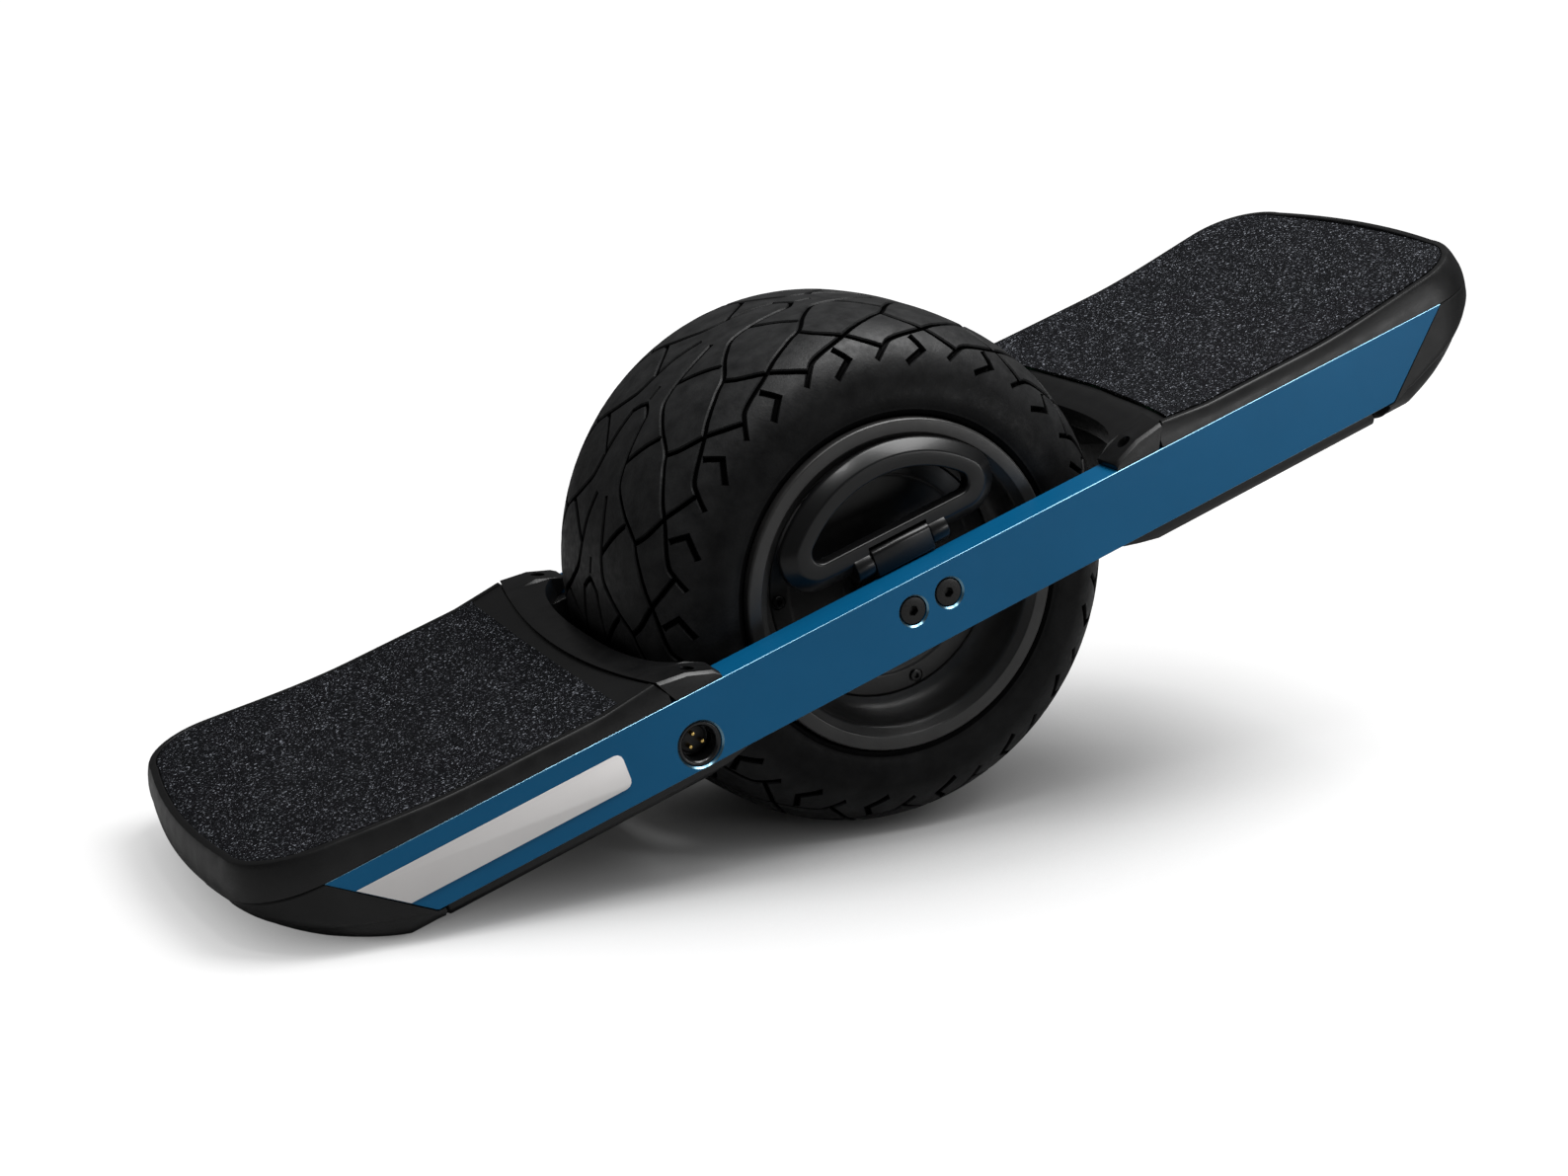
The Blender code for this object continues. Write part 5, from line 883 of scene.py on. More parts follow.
def d_ring(inset, depth):
    """A D this far inside the loop's outline, this far behind its front."""
    radius, bottom = LOOP_RADIUS - inset, LOOP_BOTTOM + inset
    corner = LOOP_CORNER - inset * 13 / 15
    reach = math.sqrt((radius - corner) ** 2 - (bottom + corner) ** 2)
    lift = math.degrees(math.asin((bottom + corner) / (radius - corner)))
    points = arc_points((0, 0), radius, lift, 180 - lift, 56)[:-1]
    points += arc_points((-reach, bottom + corner), corner, 180 - lift, 270, 16)
    points += arc_points((reach, bottom + corner), corner, -90, lift, 16)[:-1]
    return [(x + HINGE.x, LOOP_FRONT + depth, z) for x, z in points]


rings = [d_ring(p.x, p.y) for p in rounded(LOOP_SECTION, closed=True)]
round_path, round_bar = len(rings[0]), len(rings)
loop_shape = bmesh.new()
mapped_grid(loop_shape, round_path, round_bar,
            lambda u, v: Vector(rings[round(v * round_bar) % round_bar][round(u * round_path) % round_path]))
bmesh.ops.remove_doubles(loop_shape, verts=loop_shape.verts, dist=0.000002)
loop_mesh = bare_mesh(loop_shape)


def knuckle(low, high):
    """A round bar along X through the hinge, with rounded ends."""
    profile = rounded([(0.0, low), (BARREL_RADIUS, low, BARREL_EDGE), (BARREL_RADIUS, high, BARREL_EDGE),
                       (0.0, high)])
    shape = turned(profile, 56)
    bmesh.ops.transform(shape, matrix=Matrix.Translation(HINGE) @ Matrix.Rotation(-math.pi / 2, 4, 'Z'),
                        verts=shape.verts)
    return bare_mesh(shape)


near, far = BARREL_HALF + GAP, BARREL_HALF + GAP + KNUCKLE
room = box_shape(HINGE - Vector((near, BARREL_ROOM_DEPTH, BARREL_ROOM_LOW)),
                 HINGE + Vector((near, BARREL_ROOM_DEPTH, BARREL_ROOM_HIGH)))
loop_shape = gathered([carved(loop_mesh, bare_mesh(room)), knuckle(-far, -near), knuckle(near, far)])
add_piece("handle_loop_moulded", finished_mesh(loop_shape, "loop", BOARD, crisp=34.0), "satin black",
          "handle", ["handle_loop"], "gloss_black")

# %% [markdown]
# The bracket is a flat arm that wraps the hinge pin. Its side view is one outline, extruded along the
# pin and bevelled. The room above it in the loop lets the loop fold out past its front.

# %% Make the bracket
ARM_FOOT, ARM_FOOT_TOP, ARM_HEEL = 0.0113, 0.0149, 0.0080
ARM_CORNER = 0.0030


def slab(outline, plane, low, high):
    """An outline filled and extruded between two places square to its plane, which is XZ or YZ."""
    shape = bmesh.new()
    if plane == 'XZ':
        points, way = [(a, low, b) for a, b in outline], (0, high - low, 0)
    else:
        points, way = [(low, a, b) for a, b in outline], (high - low, 0, 0)
    face = bmesh.ops.edgeloop_fill(shape, edges=edge_ring(shape, points))["faces"]
    made = bmesh.ops.extrude_face_region(shape, geom=face)["geom"]
    bmesh.ops.translate(shape, vec=way, verts=[v for v in made if isinstance(v, bmesh.types.BMVert)])
    bmesh.ops.recalc_face_normals(shape, faces=shape.faces)
    return shape


front_y = HINGE.y - BARREL_RADIUS
foot_y = GAP - RAIL_INNER
arm = arc_points((HINGE.y, HINGE.z), BARREL_RADIUS, -30, 100, 26)
arm += arc_points((front_y + ARM_CORNER, HINGE.z + BARREL_RADIUS - 0.0034), ARM_CORNER, 100, 180, 8)
arm += [(front_y, 0.0172), (foot_y, 0.0158), (foot_y, ARM_FOOT), (HINGE.y + ARM_HEEL, ARM_FOOT),
        (HINGE.y + ARM_HEEL, ARM_FOOT_TOP), (HINGE.y + 0.0062, 0.0160)]
bracket = softened(slab(arm, 'YZ', HINGE.x - BARREL_HALF, HINGE.x + BARREL_HALF), width=0.0006, crisp=40.0)
add_piece("handle_bracket_moulded", finished_mesh(bracket, "bracket", BOARD), "satin black", "chassis",
          ["handle_bracket"], "gloss_black")

# %% [markdown]
# ## The rails
# A rail is a thick aluminium plate with slanted ends. Its outline is filled and extruded, and its long
# edges are broken with a small flat chamfer. That edge shows as a bright line, a highlight that is
# partly painted: the chamfer's faces get a lighter, fully metallic finish of their own. The holes are
# cut afterwards with turned cutters that carry their own chamfer, as a countersink does.

# %% Make the rails
RAIL_TOP = 0.0155
RAIL_BOTTOM = -0.0250
RAIL_TOP_HALF = 0.3470
RAIL_BOTTOM_HALF = 0.3015
PORT = (-0.1444, -0.0120)
BOLT_PLACES = (-0.0111, 0.0111)
BOLT_LEVEL = -0.0014
BOLT_STEPS = [(0.0080, 0.0070), (0.0043, 0.0230)]
PORT_STEPS = {"right": [(0.0121, 0.0230)], "left": [(0.0091, 0.0230)]}
EAR_SCREW = (0.1370, 0.1073)
EAR_SCREW_DEPTH = 0.0080
SHANK_HOLE = 0.0023
PAST_SURFACE = 0.0200
UPRIGHT = Matrix.Rotation(math.pi / 2, 4, 'X')
RAIL_CHAMFER = 0.0005
HOLE_CHAMFER = 0.0009
HIGHLIGHT_EDGE_NORMALS = (0.55, 0.85)


def hole_cutter(x, z, side, steps):
    """A stepped hole into a rail's side. Steps are (radius, depth), outermost first."""
    outside = 0.0030
    profile = [(0.0, outside), (steps[0][0] + HOLE_CHAMFER + outside, outside), (steps[0][0], -HOLE_CHAMFER)]
    for (radius, depth), following in zip(steps, steps[1:] + [(0.0, 0)]):
        profile.append((radius, -depth))
        if following[0] > 0:
            profile.append((following[0], -depth))
    profile.append((0.0, -steps[-1][1]))
    cutter = turned(profile, 48)
    place = Matrix.Translation((x, side * HALF_WIDTH, z)) @ facing(side)
    bmesh.ops.transform(cutter, matrix=place, verts=cutter.verts)
    return bare_mesh(cutter)


def on_outer_face(edge):
    return all(abs(abs(vert.co.y) - HALF_WIDTH) < 0.00001 for vert in edge.verts)


RAIL_OUTLINE = rounded(
    [(MIDDLE_X - RAIL_TOP_HALF, RAIL_TOP, 0.0009), (MIDDLE_X - RAIL_BOTTOM_HALF, RAIL_BOTTOM, 0.0009),
     (MIDDLE_X + RAIL_BOTTOM_HALF, RAIL_BOTTOM, 0.0009), (MIDDLE_X + RAIL_TOP_HALF, RAIL_TOP, 0.0009)],
    closed=True)
for side_name, side in SIDES.items():
    low, high = sorted((side * RAIL_INNER, side * HALF_WIDTH))
    rail = slab(RAIL_OUTLINE, 'XZ', low, high)
    bmesh.ops.bevel(rail, geom=[e for e in rail.edges if on_outer_face(e)], offset=RAIL_CHAMFER, segments=1,
                    profile=0.5, affect='EDGES', material=-1, clamp_overlap=True)
    rail_mesh = bare_mesh(rail)
    for x in BOLT_PLACES:
        rail_mesh = carved(rail_mesh, hole_cutter(x, BOLT_LEVEL, side, BOLT_STEPS))
    rail_mesh = carved(rail_mesh, hole_cutter(PORT[0], PORT[1], side, PORT_STEPS[side_name]))
    for x in (-EAR_SCREW[0], EAR_SCREW[0]):
        place = Matrix.Translation((MIDDLE_X + x, side * EAR_SCREW[1], RAIL_TOP)) @ UPRIGHT
        hole = pin_shape(SHANK_HOLE, -EAR_SCREW_DEPTH, PAST_SURFACE, matrix=place)
        rail_mesh = carved(rail_mesh, bare_mesh(hole))
    rail_mesh = finished_mesh(as_shape(rail_mesh), "rail", BOARD, crisp=20.0)
    plate = add_piece("rail_%s_plate" % side_name, rail_mesh, "blue anodising", "chassis",
                      ["rail_" + side_name], "blue_anodised")
    # painted highlight: the chamfer's faces get the lighter edge finish, which paints a bright line along
    # them
    plate.data.materials.append(FINISHES["painted edge highlight"])
    for face in plate.data.polygons:
        if HIGHLIGHT_EDGE_NORMALS[0] < abs(face.normal.y) < HIGHLIGHT_EDGE_NORMALS[1]:
            face.material_index = 1
    print("faces with the finish of a painted edge highlight:", sum(face.material_index for face in plate.data.polygons))

# %% [markdown]
# ## Bolts, charge port and power button
# The axle bolts are black socket screws, sunk in the rails. The charge port is a turned cup with an
# insulating disc on its floor and three gold pins, whose round tips are what shows. On the other rail
# the same kind of cup holds the power button.

# %% Make the axle bolts
for side_name, side in SIDES.items():
    for x, end_name in zip(BOLT_PLACES, ("rear", "front")):
        head = socket_screw(radius=0.0074, height=0.0058, socket=0.0030, segments=48, depth=0.0032)
        shank = bare_mesh(pin_shape(radius=0.0040, low=-0.0290, high=-0.0055))
        place = BOARD @ Matrix.Translation((x, side * (HALF_WIDTH - HOLE_CHAMFER), BOLT_LEVEL)) @ facing(side)
        name = "axle_bolt_%s_%s" % (side_name, end_name)
        add_piece(name + "_socket", finished_mesh(gathered([head, shank]), name, place), "black steel",
                  "chassis", [name], "black_steel")

# %% Make the charge port
PORT_CUP = in_metres([(0, -13.2, 0), (9.2, -13.2, 0.4), (9.2, -2.4, 0.5), (10.4, -1.2, 0.5),
                      (11.5, -1.2, 0.4), (11.8, -1.6, 0.2), (11.8, -19.5, 0), (0, -19.5, 0)])
PORT_FLOOR = in_metres([(0, -11.2, 0), (7.3, -11.2, 0.4), (7.7, -11.7, 0.2), (7.7, -12.9, 0), (0, -12.9, 0)])
PORT_PIN = in_metres([(0, -6.9, 0), (1.1, -6.9, 0.9), (1.1, -11.1, 0), (0, -11.1, 0)])
PIN_CIRCLE = 0.0040

port_place = BOARD @ Matrix.Translation((PORT[0], -HALF_WIDTH, PORT[1])) @ facing(-1)
port_cup = turned(rounded(PORT_CUP), 64)
add_piece("charge_socket_cup", finished_mesh(port_cup, "cup", port_place), "gloss plastic", "chassis",
          ["charge_socket"], "gloss_black")
port_disc = turned(rounded(PORT_FLOOR), 48)
add_piece("port_insulator", finished_mesh(port_disc, "disc", port_place), "moulded plastic", "chassis", (),
          "black_plastic")
pins = []
for degrees in (90, 210, 330):
    angle = math.radians(degrees)
    pin = bare_mesh(turned(rounded(PORT_PIN, steps=5), 20))
    pin.transform(Matrix.Translation((PIN_CIRCLE * math.cos(angle), 0, PIN_CIRCLE * math.sin(angle))))
    pins.append(pin)
add_piece("port_pins", finished_mesh(gathered(pins), "pins", port_place), "gold plating", "chassis",
          ["port_contacts"], "gold_pin")

# %% Make the power button
COLLAR = in_metres([(0, -8.0, 0), (6.3, -8.0, 0), (6.3, -1.4, 0.4), (6.9, -1.0, 0.3), (8.4, -1.0, 0.4),
                    (8.8, -1.5, 0.3), (8.8, -10.0, 0), (0, -10.0, 0)])
CAP = in_metres([(0, -1.7, 0), (3.2, -1.6, 0.5), (4.8, -1.2, 0.5), (5.6, -1.2, 0.4), (6.0, -1.7, 0.3),
                 (6.0, -6.7, 0), (0, -6.7, 0)])

button_place = BOARD @ Matrix.Translation((PORT[0], HALF_WIDTH, PORT[1]))
button_collar = turned(rounded(COLLAR), 64)
add_piece("button_collar_ring", finished_mesh(button_collar, "collar", button_place), "gloss plastic",
          "chassis", ["button_collar"], "gloss_black")
button = turned(rounded(CAP), 48)
add_piece("power_button_cap", finished_mesh(button, "cap", button_place), "gloss plastic", "button",
          ["power_button"], "gloss_black")

# %% [markdown]
# ## The footpads
# Both ends are the same moulding, so each shape here is made once for an end that points along +X and
# placed by the end's matrix. A footpad has upright sides, a lip that leans in, and a top that is dished
# across and kicks up towards the end. Heights are given by small formulas, and a grid of points is
# pulled onto them. A grid is a good start for such a surface, because its faces stay four-sided and
# even.

# %% The footpad's heights and plan
DECK_HALF_LENGTH = 0.3930
DECK_BOTTOM = 0.0158
DECK_TOP = 0.0255
GRIP_THICKNESS = 0.0008
KICK, KICK_START = 0.0095, 0.2550
DISH = 0.0025
LIP_END_INSET, LIP_SIDE_INSET, LIP_WIDTH = 0.0055, 0.0025, 0.0045
CORNER_RADIUS = 0.0430
END_BOW = 0.0060
PARTING_X, PARTING_RADIUS, PARTING_SLANT = 0.1704, 0.5120, 0.55
RISE_FOOT = PARTING_X + 0.0180
RISE_LENGTH, RISE = 0.0350, 0.0036
GRIP_START = 0.1780
CORNER_STEPS, END_STEPS = 14, 8


def ease(t):
    """Rises smoothly from 0 to 1, as a share does."""
    t = min(max(t, 0.0), 1.0)
    return t * t * (3 - 2 * t)


def deck_level(x, y=None):
    """Height of the moulding under the grip tape."""
    level = DECK_TOP - GRIP_THICKNESS + RISE * min(max((RISE_FOOT - x) / RISE_LENGTH, 0.0), 1.0)
    level += KICK * ease((x - KICK_START) / (DECK_HALF_LENGTH - KICK_START - 0.004))
    return level if y is None else level - DISH * (1 - (y / HALF_WIDTH) ** 2)


def parting_x(y):
    """Where the joint between footpad and trim is, this far across the board."""
    return PARTING_X - PARTING_RADIUS + math.sqrt(PARTING_RADIUS ** 2 - y ** 2)


def end_plan(inner_x, end_inset, side_inset, along=22):
    """Half the plan of an end, from the wheel side along its right side to the middle of the end."""
    outer_x, half, radius = DECK_HALF_LENGTH - end_inset, HALF_WIDTH - side_inset, CORNER_RADIUS - side_inset
    corner_x = outer_x - END_BOW - radius
    points = [(inner_x + (corner_x - inner_x) * i / along, -half) for i in range(along)]
    points += arc_points((corner_x, radius - half), radius, -90, 0, CORNER_STEPS)
    straight = half - radius
    shares = [1 - i / END_STEPS for i in range(1, END_STEPS + 1)]
    return points + [(outer_x - END_BOW * share ** 2, -straight * share) for share in shares]


def across_end(plan, level):
    """A surface over a plan: strips from its right side to its left side, this high."""
    def place(u, v):
        x, y = plan[round(u * (len(plan) - 1))]
        side = y * (1 - 2 * v)
        return Vector((x, side, level(x, side)))
    return place


def round_end(plans):
    """The upright skin through plans of equally many points, each with its own level."""
    def place(u, v):
        plan, level = plans[round(v * (len(plans) - 1))]
        count = len(plan)
        i = round(u * (2 * count - 2))
        x, y = plan[i] if i < count else (plan[2 * count - 2 - i][0], -plan[2 * count - 2 - i][1])
        return Vector((x, y, level(x, y)))
    return place


def end_shape(plans, bottom, top, columns=26):
    """An end's closed shape: an upright skin, a surface below and one above, and the wheel side filled."""
    shape = bmesh.new()
    count = len(plans[0][0])
    mapped_grid(shape, 2 * count - 2, len(plans) - 1, round_end(plans))
    mapped_grid(shape, count - 1, columns, across_end(plans[0][0], bottom))
    mapped_grid(shape, count - 1, columns, across_end(plans[-1][0], top))
    bmesh.ops.remove_doubles(shape, verts=shape.verts, dist=0.00002)
    bmesh.ops.holes_fill(shape, edges=[e for e in shape.edges if e.is_boundary], sides=0)
    bmesh.ops.recalc_face_normals(shape, faces=shape.faces)
    return shape


# %% [markdown]
# The joint between a footpad and the trim round the wheel is an arc seen from above, and it leans. Its
# cutter is a lofted block. What is left of the footpad then gets its grip tape, a thin sheet that
# follows the same heights.

# %% Make the footpads
def lip_share(share):
    """The level at a share of the height from the deck's bottom to the lip."""
    return lambda x, y: DECK_BOTTOM + (deck_level(x) + GRIP_THICKNESS - DECK_BOTTOM) * share


def lip_plan(inset):
    return end_plan(RISE_FOOT - RISE_LENGTH, LIP_END_INSET + inset, LIP_SIDE_INSET + inset)


def side_share(share, inset_share):
    """Plan and level at a share of the side's height, with a share of the lip's lean."""
    plan = end_plan(RISE_FOOT - RISE_LENGTH, LIP_END_INSET * inset_share, LIP_SIDE_INSET * inset_share)
    return plan, lip_share(share)


def parting_block():
    """A block over everything on the wheel's side of the joint."""
    rise = deck_level(PARTING_X, HALF_WIDTH) - DECK_BOTTOM
    drop = PARTING_SLANT * rise
    low, high, wheel_side = DECK_BOTTOM - rise, DECK_BOTTOM + 3 * rise, 0.10
    rings = []
    for i in range(33):
        y = HALF_WIDTH * 1.04 * (i / 16 - 1)
        near = parting_x(y) + GAP / 2
        rings.append([(wheel_side, y, low), (near - 2 * drop, y, low), (near + 2 * drop, y, high),
                      (wheel_side, y, high)])
    return bare_mesh(lofted(rings))


RECESS_HEIGHT = 0.0035
deck_plans = [
    side_share(0.0, 0.0), side_share(0.20, 0.05), side_share(0.40, 0.18), side_share(0.55, 0.35),
    side_share(0.72, 0.56), side_share(0.86, 0.78), side_share(0.94, 0.93),
    (lip_plan(0.0003), lip_share(0.985)), (lip_plan(0.0010), lip_share(1.0)),
    (lip_plan(LIP_WIDTH - 0.0009), lip_share(1.0)), (lip_plan(LIP_WIDTH - 0.0005), lip_share(0.985)),
    (lip_plan(LIP_WIDTH - 0.0003), deck_level),
]
deck_mesh = bare_mesh(end_shape(deck_plans, lambda x, y: DECK_BOTTOM, deck_level))
deck_mesh = carved(deck_mesh, parting_block())
recess = box_shape((PARTING_X + 0.006, -RAIL_INNER, DECK_BOTTOM - 0.001),
                   (RAIL_TOP_HALF, RAIL_INNER, DECK_BOTTOM + RECESS_HEIGHT))
deck_mesh = carved(deck_mesh, bare_mesh(recess))
for end_name, matrix in ENDS.items():
    add_piece(end_name + "_footpad_moulding", finished_mesh(as_shape(deck_mesh), "deck", matrix, crisp=28.0),
              "moulded plastic", "chassis", [end_name + "_footpad"], "black_plastic")

# %% Make the grip tapes
TAPE_EDGE = 0.0002
TAPE_SETBACK = 0.0060
SENSOR_THICKNESS = 0.0003


def tape_sheet(start, low):
    """A sheet with a rounded rim that follows the footpad. Its wheel side follows start(y)."""
    def lifted(lift):
        return lambda x, y: deck_level(x, y) + lift

    high = low + GRIP_THICKNESS
    plans = []
    for a, b in ((TAPE_EDGE, low), (0.0, low + TAPE_EDGE), (0.0, high - TAPE_EDGE), (TAPE_EDGE, high)):
        inset = LIP_WIDTH + a
        plan = end_plan(GRIP_START, LIP_END_INSET + inset, LIP_SIDE_INSET + inset, along=30)
        plans.append((plan, lifted(b)))
    shape = end_shape(plans, lifted(low), lifted(high))
    for vert in shape.verts:
        share = max(0.0, 1 - (vert.co.x - GRIP_START) / (RISE_FOOT - GRIP_START))
        before = deck_level(vert.co.x, vert.co.y)
        vert.co.x += (start(vert.co.y) - GRIP_START) * share
        vert.co.z += deck_level(vert.co.x, vert.co.y) - before
    return shape


front_tape = tape_sheet(lambda y: parting_x(y) + TAPE_SETBACK, GAP + SENSOR_THICKNESS + GAP)
add_piece("front_grip_sheet", finished_mesh(front_tape, "tape", FRONT, crisp=30.0), "grip grit", "chassis",
          ["front_grip_tape"], "grip_tape")
rear_tape = tape_sheet(lambda y: GRIP_START, GAP)
add_piece("rear_grip_sheet", finished_mesh(rear_tape, "tape", REAR, crisp=30.0), "grip grit", "chassis",
          ["rear_grip_tape"], "grip_tape")

# %% [markdown]
# ## The trims round the wheel
# A trim is an arch between two ears. Its section changes across the board: long and low over the rails,
# short and thick over the tyre. Sections at many places across are bridged into one skin. Then its
# sharp edges are bevelled and the two screw holes are cut.

# %% Make the trims
ARCH_X, ARCH_DEPTH, ARCH_END = 0.1515, 0.0145, 0.0060
EAR_FLANK = 0.0022
EAR_TIP, EAR_FRONT, EAR_BREAK = (0.1237, 0.0028), (0.1270, 0.0052), (0.1405, 0.0105)
TRIM_FALL = 0.16
LID_THICKNESS = 0.0032
BOX_TOP = RAIL_TOP - GAP - LID_THICKNESS - GAP
BOX_WHEEL_SIDE = 0.1580
BOX_HALF_WIDTH = RAIL_INNER - GAP
SCREW_LEVEL = DECK_BOTTOM + EAR_FRONT[1] - 0.0030
HEAD_HOLE = 0.0039
TRIM_EDGE = 0.0004
ARCH_STATIONS = 18


def trim_top(x, y):
    """Height of a trim: level with the footpad's lip at the joint, falling towards the wheel."""
    lip = deck_level(parting_x(HALF_WIDTH)) + GRIP_THICKNESS
    return lip - DISH * (1 - (y / HALF_WIDTH) ** 2) - TRIM_FALL * (parting_x(y) - GAP - x)


def trim_section(y):
    """A trim's section this far across the board: an ear over a rail, else the arch."""
    back = parting_x(y) - GAP / 2
    foot = back - PARTING_SLANT * (deck_level(PARTING_X, HALF_WIDTH) - DECK_BOTTOM)
    if abs(y) > BOX_HALF_WIDTH:
        lean = 0.0 if abs(y) < HALF_WIDTH - LIP_SIDE_INSET / 2 else EAR_TIP[1] * 0.5
        low = [(x, DECK_BOTTOM) for x in (EAR_TIP[0], EAR_FRONT[0], EAR_BREAK[0], foot)]
        high = [(back, trim_top(back, y) - lean)]
        high += [(x, DECK_BOTTOM + height - lean) for x, height in (EAR_BREAK, EAR_FRONT, EAR_TIP)]
    else:
        share = abs(y / RAIL_INNER)
        front = ARCH_X - ARCH_DEPTH * share ** 3 - ARCH_END * share ** 12
        low_level, step_level = BOX_TOP + GAP, BOX_TOP + LID_THICKNESS + 2 * GAP
        step = min(BOX_WHEEL_SIDE - GAP, foot - 0.0010)
        low = [(front, low_level), (step, low_level), (step, step_level), (foot, step_level)]
        third = (back - front) / 3
        high = [(x, trim_top(x, y)) for x in (back, back - third, front + third, front)]
    return [(x, y, z) for x, z in low + high]


stations = [HALF_WIDTH - LIP_SIDE_INSET * 0.1, HALF_WIDTH - LIP_SIDE_INSET, RAIL_INNER,
            RAIL_INNER - EAR_FLANK]
stations += [BOX_HALF_WIDTH * (1 - i / ARCH_STATIONS) for i in range(1, ARCH_STATIONS)]
stations = stations + [0.0] + [-y for y in stations[::-1]]
trim = lofted([trim_section(-y) for y in stations])
bmesh.ops.recalc_face_normals(trim, faces=trim.faces)


def on_top(edge):
    """True for an edge of the trim's upper side."""
    return min(v.co.z for v in edge.verts) > DECK_BOTTOM + GAP


softened(trim, TRIM_EDGE, crisp=32.0, wanted=on_top)
print("open edges of the bevelled trim:", open_edges(trim))
trim_mesh = bare_mesh(trim)
for side in SIDES.values():
    place = Matrix.Translation((EAR_SCREW[0], side * EAR_SCREW[1], SCREW_LEVEL)) @ UPRIGHT
    head_hole = pin_shape(HEAD_HOLE, 0.0, PAST_SURFACE, segments=40, matrix=place)
    shank_hole = pin_shape(SHANK_HOLE, -PAST_SURFACE / 2, PAST_SURFACE / 2, matrix=place)
    for hole in (head_hole, shank_hole):
        trim_mesh = carved(trim_mesh, bare_mesh(hole))
for end_name, matrix in ENDS.items():
    add_piece(end_name + "_trim_moulding", finished_mesh(as_shape(trim_mesh), "trim", matrix, crisp=24.0),
              "moulded plastic", "chassis", [end_name + "_fender"], "black_plastic")

# %% Make the trim screws
EAR_HEAD_RISE = 0.0028

for end_name, end in (("front", 1), ("rear", -1)):
    for side_name, side in SIDES.items():
        head = socket_screw(radius=0.0036, height=0.0026, socket=0.0013, segments=32, depth=0.0014)
        shank = bare_mesh(pin_shape(radius=0.0020, low=-0.0125, high=-0.0025, segments=20))
        place = BOARD @ Matrix.Translation((MIDDLE_X + end * EAR_SCREW[0], side * EAR_SCREW[1],
                                            SCREW_LEVEL + GAP + EAR_HEAD_RISE)) @ UPRIGHT
        name = "fender_screw_%s_%s" % (side_name, end_name)
        add_piece(name + "_socket", finished_mesh(gathered([head, shank]), name, place), "black steel",
                  "chassis", [name], "black_steel")

# %% [markdown]
# ## The noses
# A nose closes the board below each footpad. Its skin runs from the flat skid over a round chin to an
# upright band that continues the footpad's side. It is cut to the rail's slanted end and slotted for
# the light.

# %% Make the noses
BAND_SLOPE = math.tan(TILT) * 1.16
BOX_BOTTOM = RAIL_BOTTOM - 0.0130
BOX_END = RAIL_BOTTOM_HALF - 0.0040
SKID_START = 0.0600
NOSE_SCREW = (BOX_END + 0.0325, HALF_WIDTH - 0.0400)
NOSE_SCREW_HOLE, NOSE_SCREW_DEPTH = 0.0039, 0.0050
LIGHT_WIDTH, LIGHT_HEIGHT, LIGHT_DEPTH, LIGHT_LEVEL = 0.0900, 0.0050, 0.0080, 0.0115
LIGHT_SETBACK = 0.0025
CHIN_BULGE = 0.0005
NOTCH_START = 0.20


def skid_level(x, y=0.0):
    """The nose's underside: the ground under the tilted board, or the boxes' bottom. Alike at every y."""
    ground = ((x - MIDDLE_X) * math.sin(TILT) - WHEEL_RADIUS) / math.cos(TILT)
    return max(BOX_BOTTOM, ground)


def skirt_level(x, y=0.0):
    """Where the band begins: beside the rail's slanted end. Alike at every y."""
    return min(RAIL_BOTTOM - GAP + BAND_SLOPE * (x - RAIL_BOTTOM_HALF), RAIL_TOP - 0.0045)


def nose_plan(end_inset, side_inset):
    return end_plan(BOX_END + GAP, end_inset, side_inset, along=14)


def over_ground(height, clear):
    """A level this high over the skid and at least this far below the band."""
    return lambda x, y: min(skid_level(x) + height, skirt_level(x) - clear)


def between(first, second, share, bulge):
    """A plan and level part of the way between two others, pushed out a little to round the chin."""
    (plan_a, level_a), (plan_b, level_b) = first, second
    middle = Vector((BOX_END, 0.0))
    plan = []
    for (xa, ya), (xb, yb) in zip(plan_a, plan_b):
        x, y = xa + (xb - xa) * share, ya + (yb - ya) * share
        outward = Vector((max(x - middle.x, 0.0) * 0.6, y)).normalized()
        plan.append((x + outward.x * bulge * (1 if x > middle.x + 0.001 else 0), y + outward.y * bulge))

    def level(x, y):
        return level_a(x, y) + (level_b(x, y) - level_a(x, y)) * share - bulge * 0.6
    return plan, level


chin = [
    (nose_plan(SKID_START, 0.0240), skid_level),
    (nose_plan(SKID_START - 0.0190, 0.0130), over_ground(0.0025, 0.0080)),
    (nose_plan(SKID_START - 0.0380, 0.0050), over_ground(0.0080, 0.0040)),
    (nose_plan(SKID_START - 0.0510, 0.0015), over_ground(0.0160, 0.0015)),
    (nose_plan(0.0015, 0.0), skirt_level),
]
nose_plans = []
for first, second in zip(chin, chin[1:]):
    nose_plans += [first] + [between(first, second, share, CHIN_BULGE * 4 * share * (1 - share))
                             for share in (0.25, 0.5, 0.75)]
nose_plans += [chin[-1], (nose_plan(0.0006, 0.0), lambda x, y: skirt_level(x) + 0.0012),
               (nose_plan(0.0, 0.0), lambda x, y: RAIL_TOP - GAP - 0.0008),
               (nose_plan(0.0004, 0.0004), lambda x, y: RAIL_TOP - GAP)]
nose_mesh = bare_mesh(end_shape(nose_plans, skid_level, lambda x, y: RAIL_TOP - GAP, columns=20))
notch = [(NOTCH_START, RAIL_BOTTOM - 2 * GAP), (RAIL_BOTTOM_HALF + GAP, RAIL_BOTTOM - 2 * GAP),
         (RAIL_TOP_HALF + GAP * 2.4, RAIL_TOP + GAP), (NOTCH_START, RAIL_TOP + GAP)]
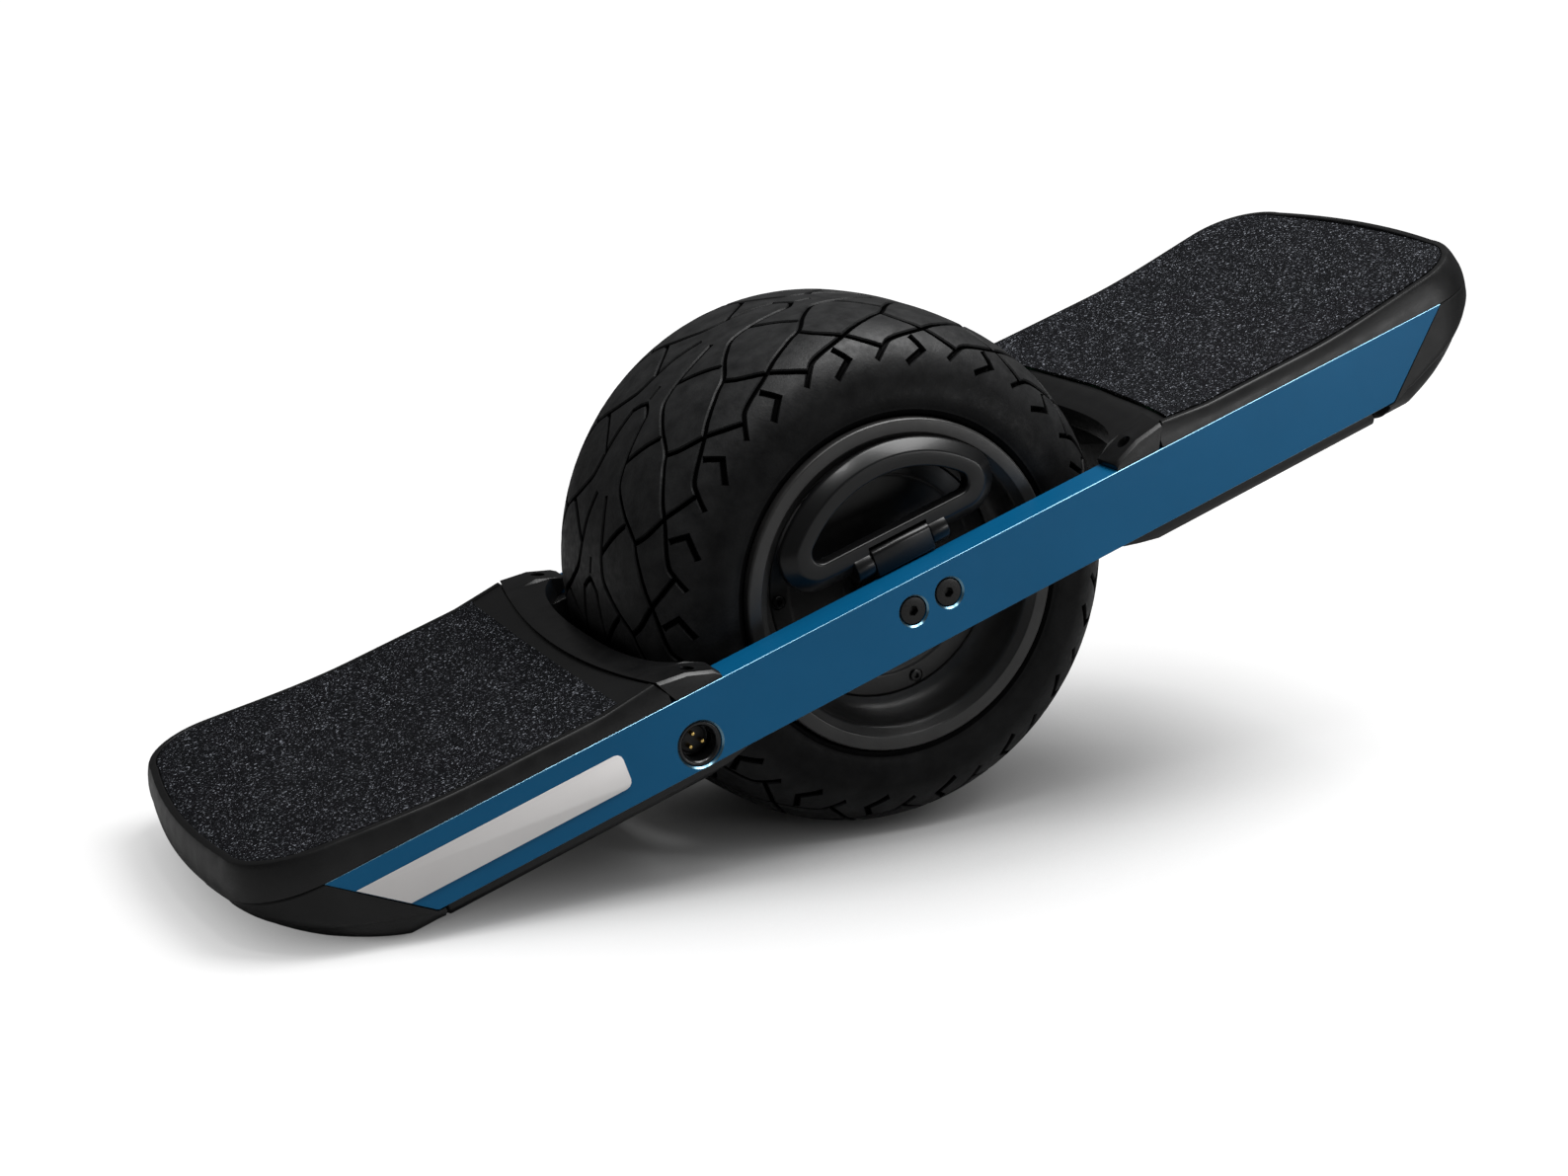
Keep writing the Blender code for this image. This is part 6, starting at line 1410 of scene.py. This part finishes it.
for side in SIDES.values():
    low, high = sorted((side * (RAIL_INNER - GAP), side * (HALF_WIDTH + 0.01)))
    nose_mesh = carved(nose_mesh, bare_mesh(slab(notch, 'XZ', low, high)))
    place = Matrix.Translation((NOSE_SCREW[0], side * NOSE_SCREW[1], skid_level(NOSE_SCREW[0]))) @ UPRIGHT
    hole = pin_shape(NOSE_SCREW_HOLE, -PAST_SURFACE, NOSE_SCREW_DEPTH, segments=32, matrix=place)
    nose_mesh = carved(nose_mesh, bare_mesh(hole))
bow_at_light = END_BOW * (LIGHT_WIDTH / 2 / (HALF_WIDTH - CORNER_RADIUS)) ** 2
light_front = DECK_HALF_LENGTH - bow_at_light - LIGHT_SETBACK
slot = box_shape((light_front - LIGHT_DEPTH, -LIGHT_WIDTH / 2, LIGHT_LEVEL - LIGHT_HEIGHT / 2),
                 (DECK_HALF_LENGTH + 0.01, LIGHT_WIDTH / 2, LIGHT_LEVEL + LIGHT_HEIGHT / 2))
nose_mesh = carved(nose_mesh, bare_mesh(slot))
for end_name, matrix in ENDS.items():
    add_piece(end_name + "_nose_moulding", finished_mesh(as_shape(nose_mesh), "nose", matrix, crisp=26.0),
              "nose plastic", "chassis", [end_name + "_bumper"], "bumper_plastic")

# %% [markdown]
# ## Softer edges on some of the rest
# The imported pieces that are left are simple machined or folded shapes whose form is already right.
# Only their edges are razor sharp, which nothing real is. Nine of them, the boxes, their lids, the axle
# blocks, the light lenses and the name plate, each get a copy of the mesh in which points that
# coincide are merged, the flat triangles are joined again and the sharp edges get a small round bevel.

# %% Soften nine of the remaining imported pieces
def soft_copy(node, width):
    """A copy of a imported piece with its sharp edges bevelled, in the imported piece's place."""
    item = nodes[node]
    shape = as_shape(item.data)
    shape.transform(item.matrix_world)
    bmesh.ops.remove_doubles(shape, verts=shape.verts, dist=0.000005)
    bmesh.ops.dissolve_limit(shape, angle_limit=math.radians(1.0), verts=shape.verts, edges=shape.edges)
    softened(shape, width, crisp=35.0)
    slot = record_slots[node]
    mesh = finished_mesh(shape, node, crisp=40.0)
    add_piece(node + "_soft", mesh, SLOT_FINISH[slot], "chassis", [node], slot)


for node, width in (("battery_box", 0.0006), ("controller_box", 0.0006), ("battery_box_lid", 0.0004),
                    ("controller_box_lid", 0.0004), ("axle_block_left", 0.0006), ("axle_block_right", 0.0006),
                    ("front_light_lens", 0.0003), ("rear_light_lens", 0.0003), ("name_plate", 0.0001)):
    soft_copy(node, width)
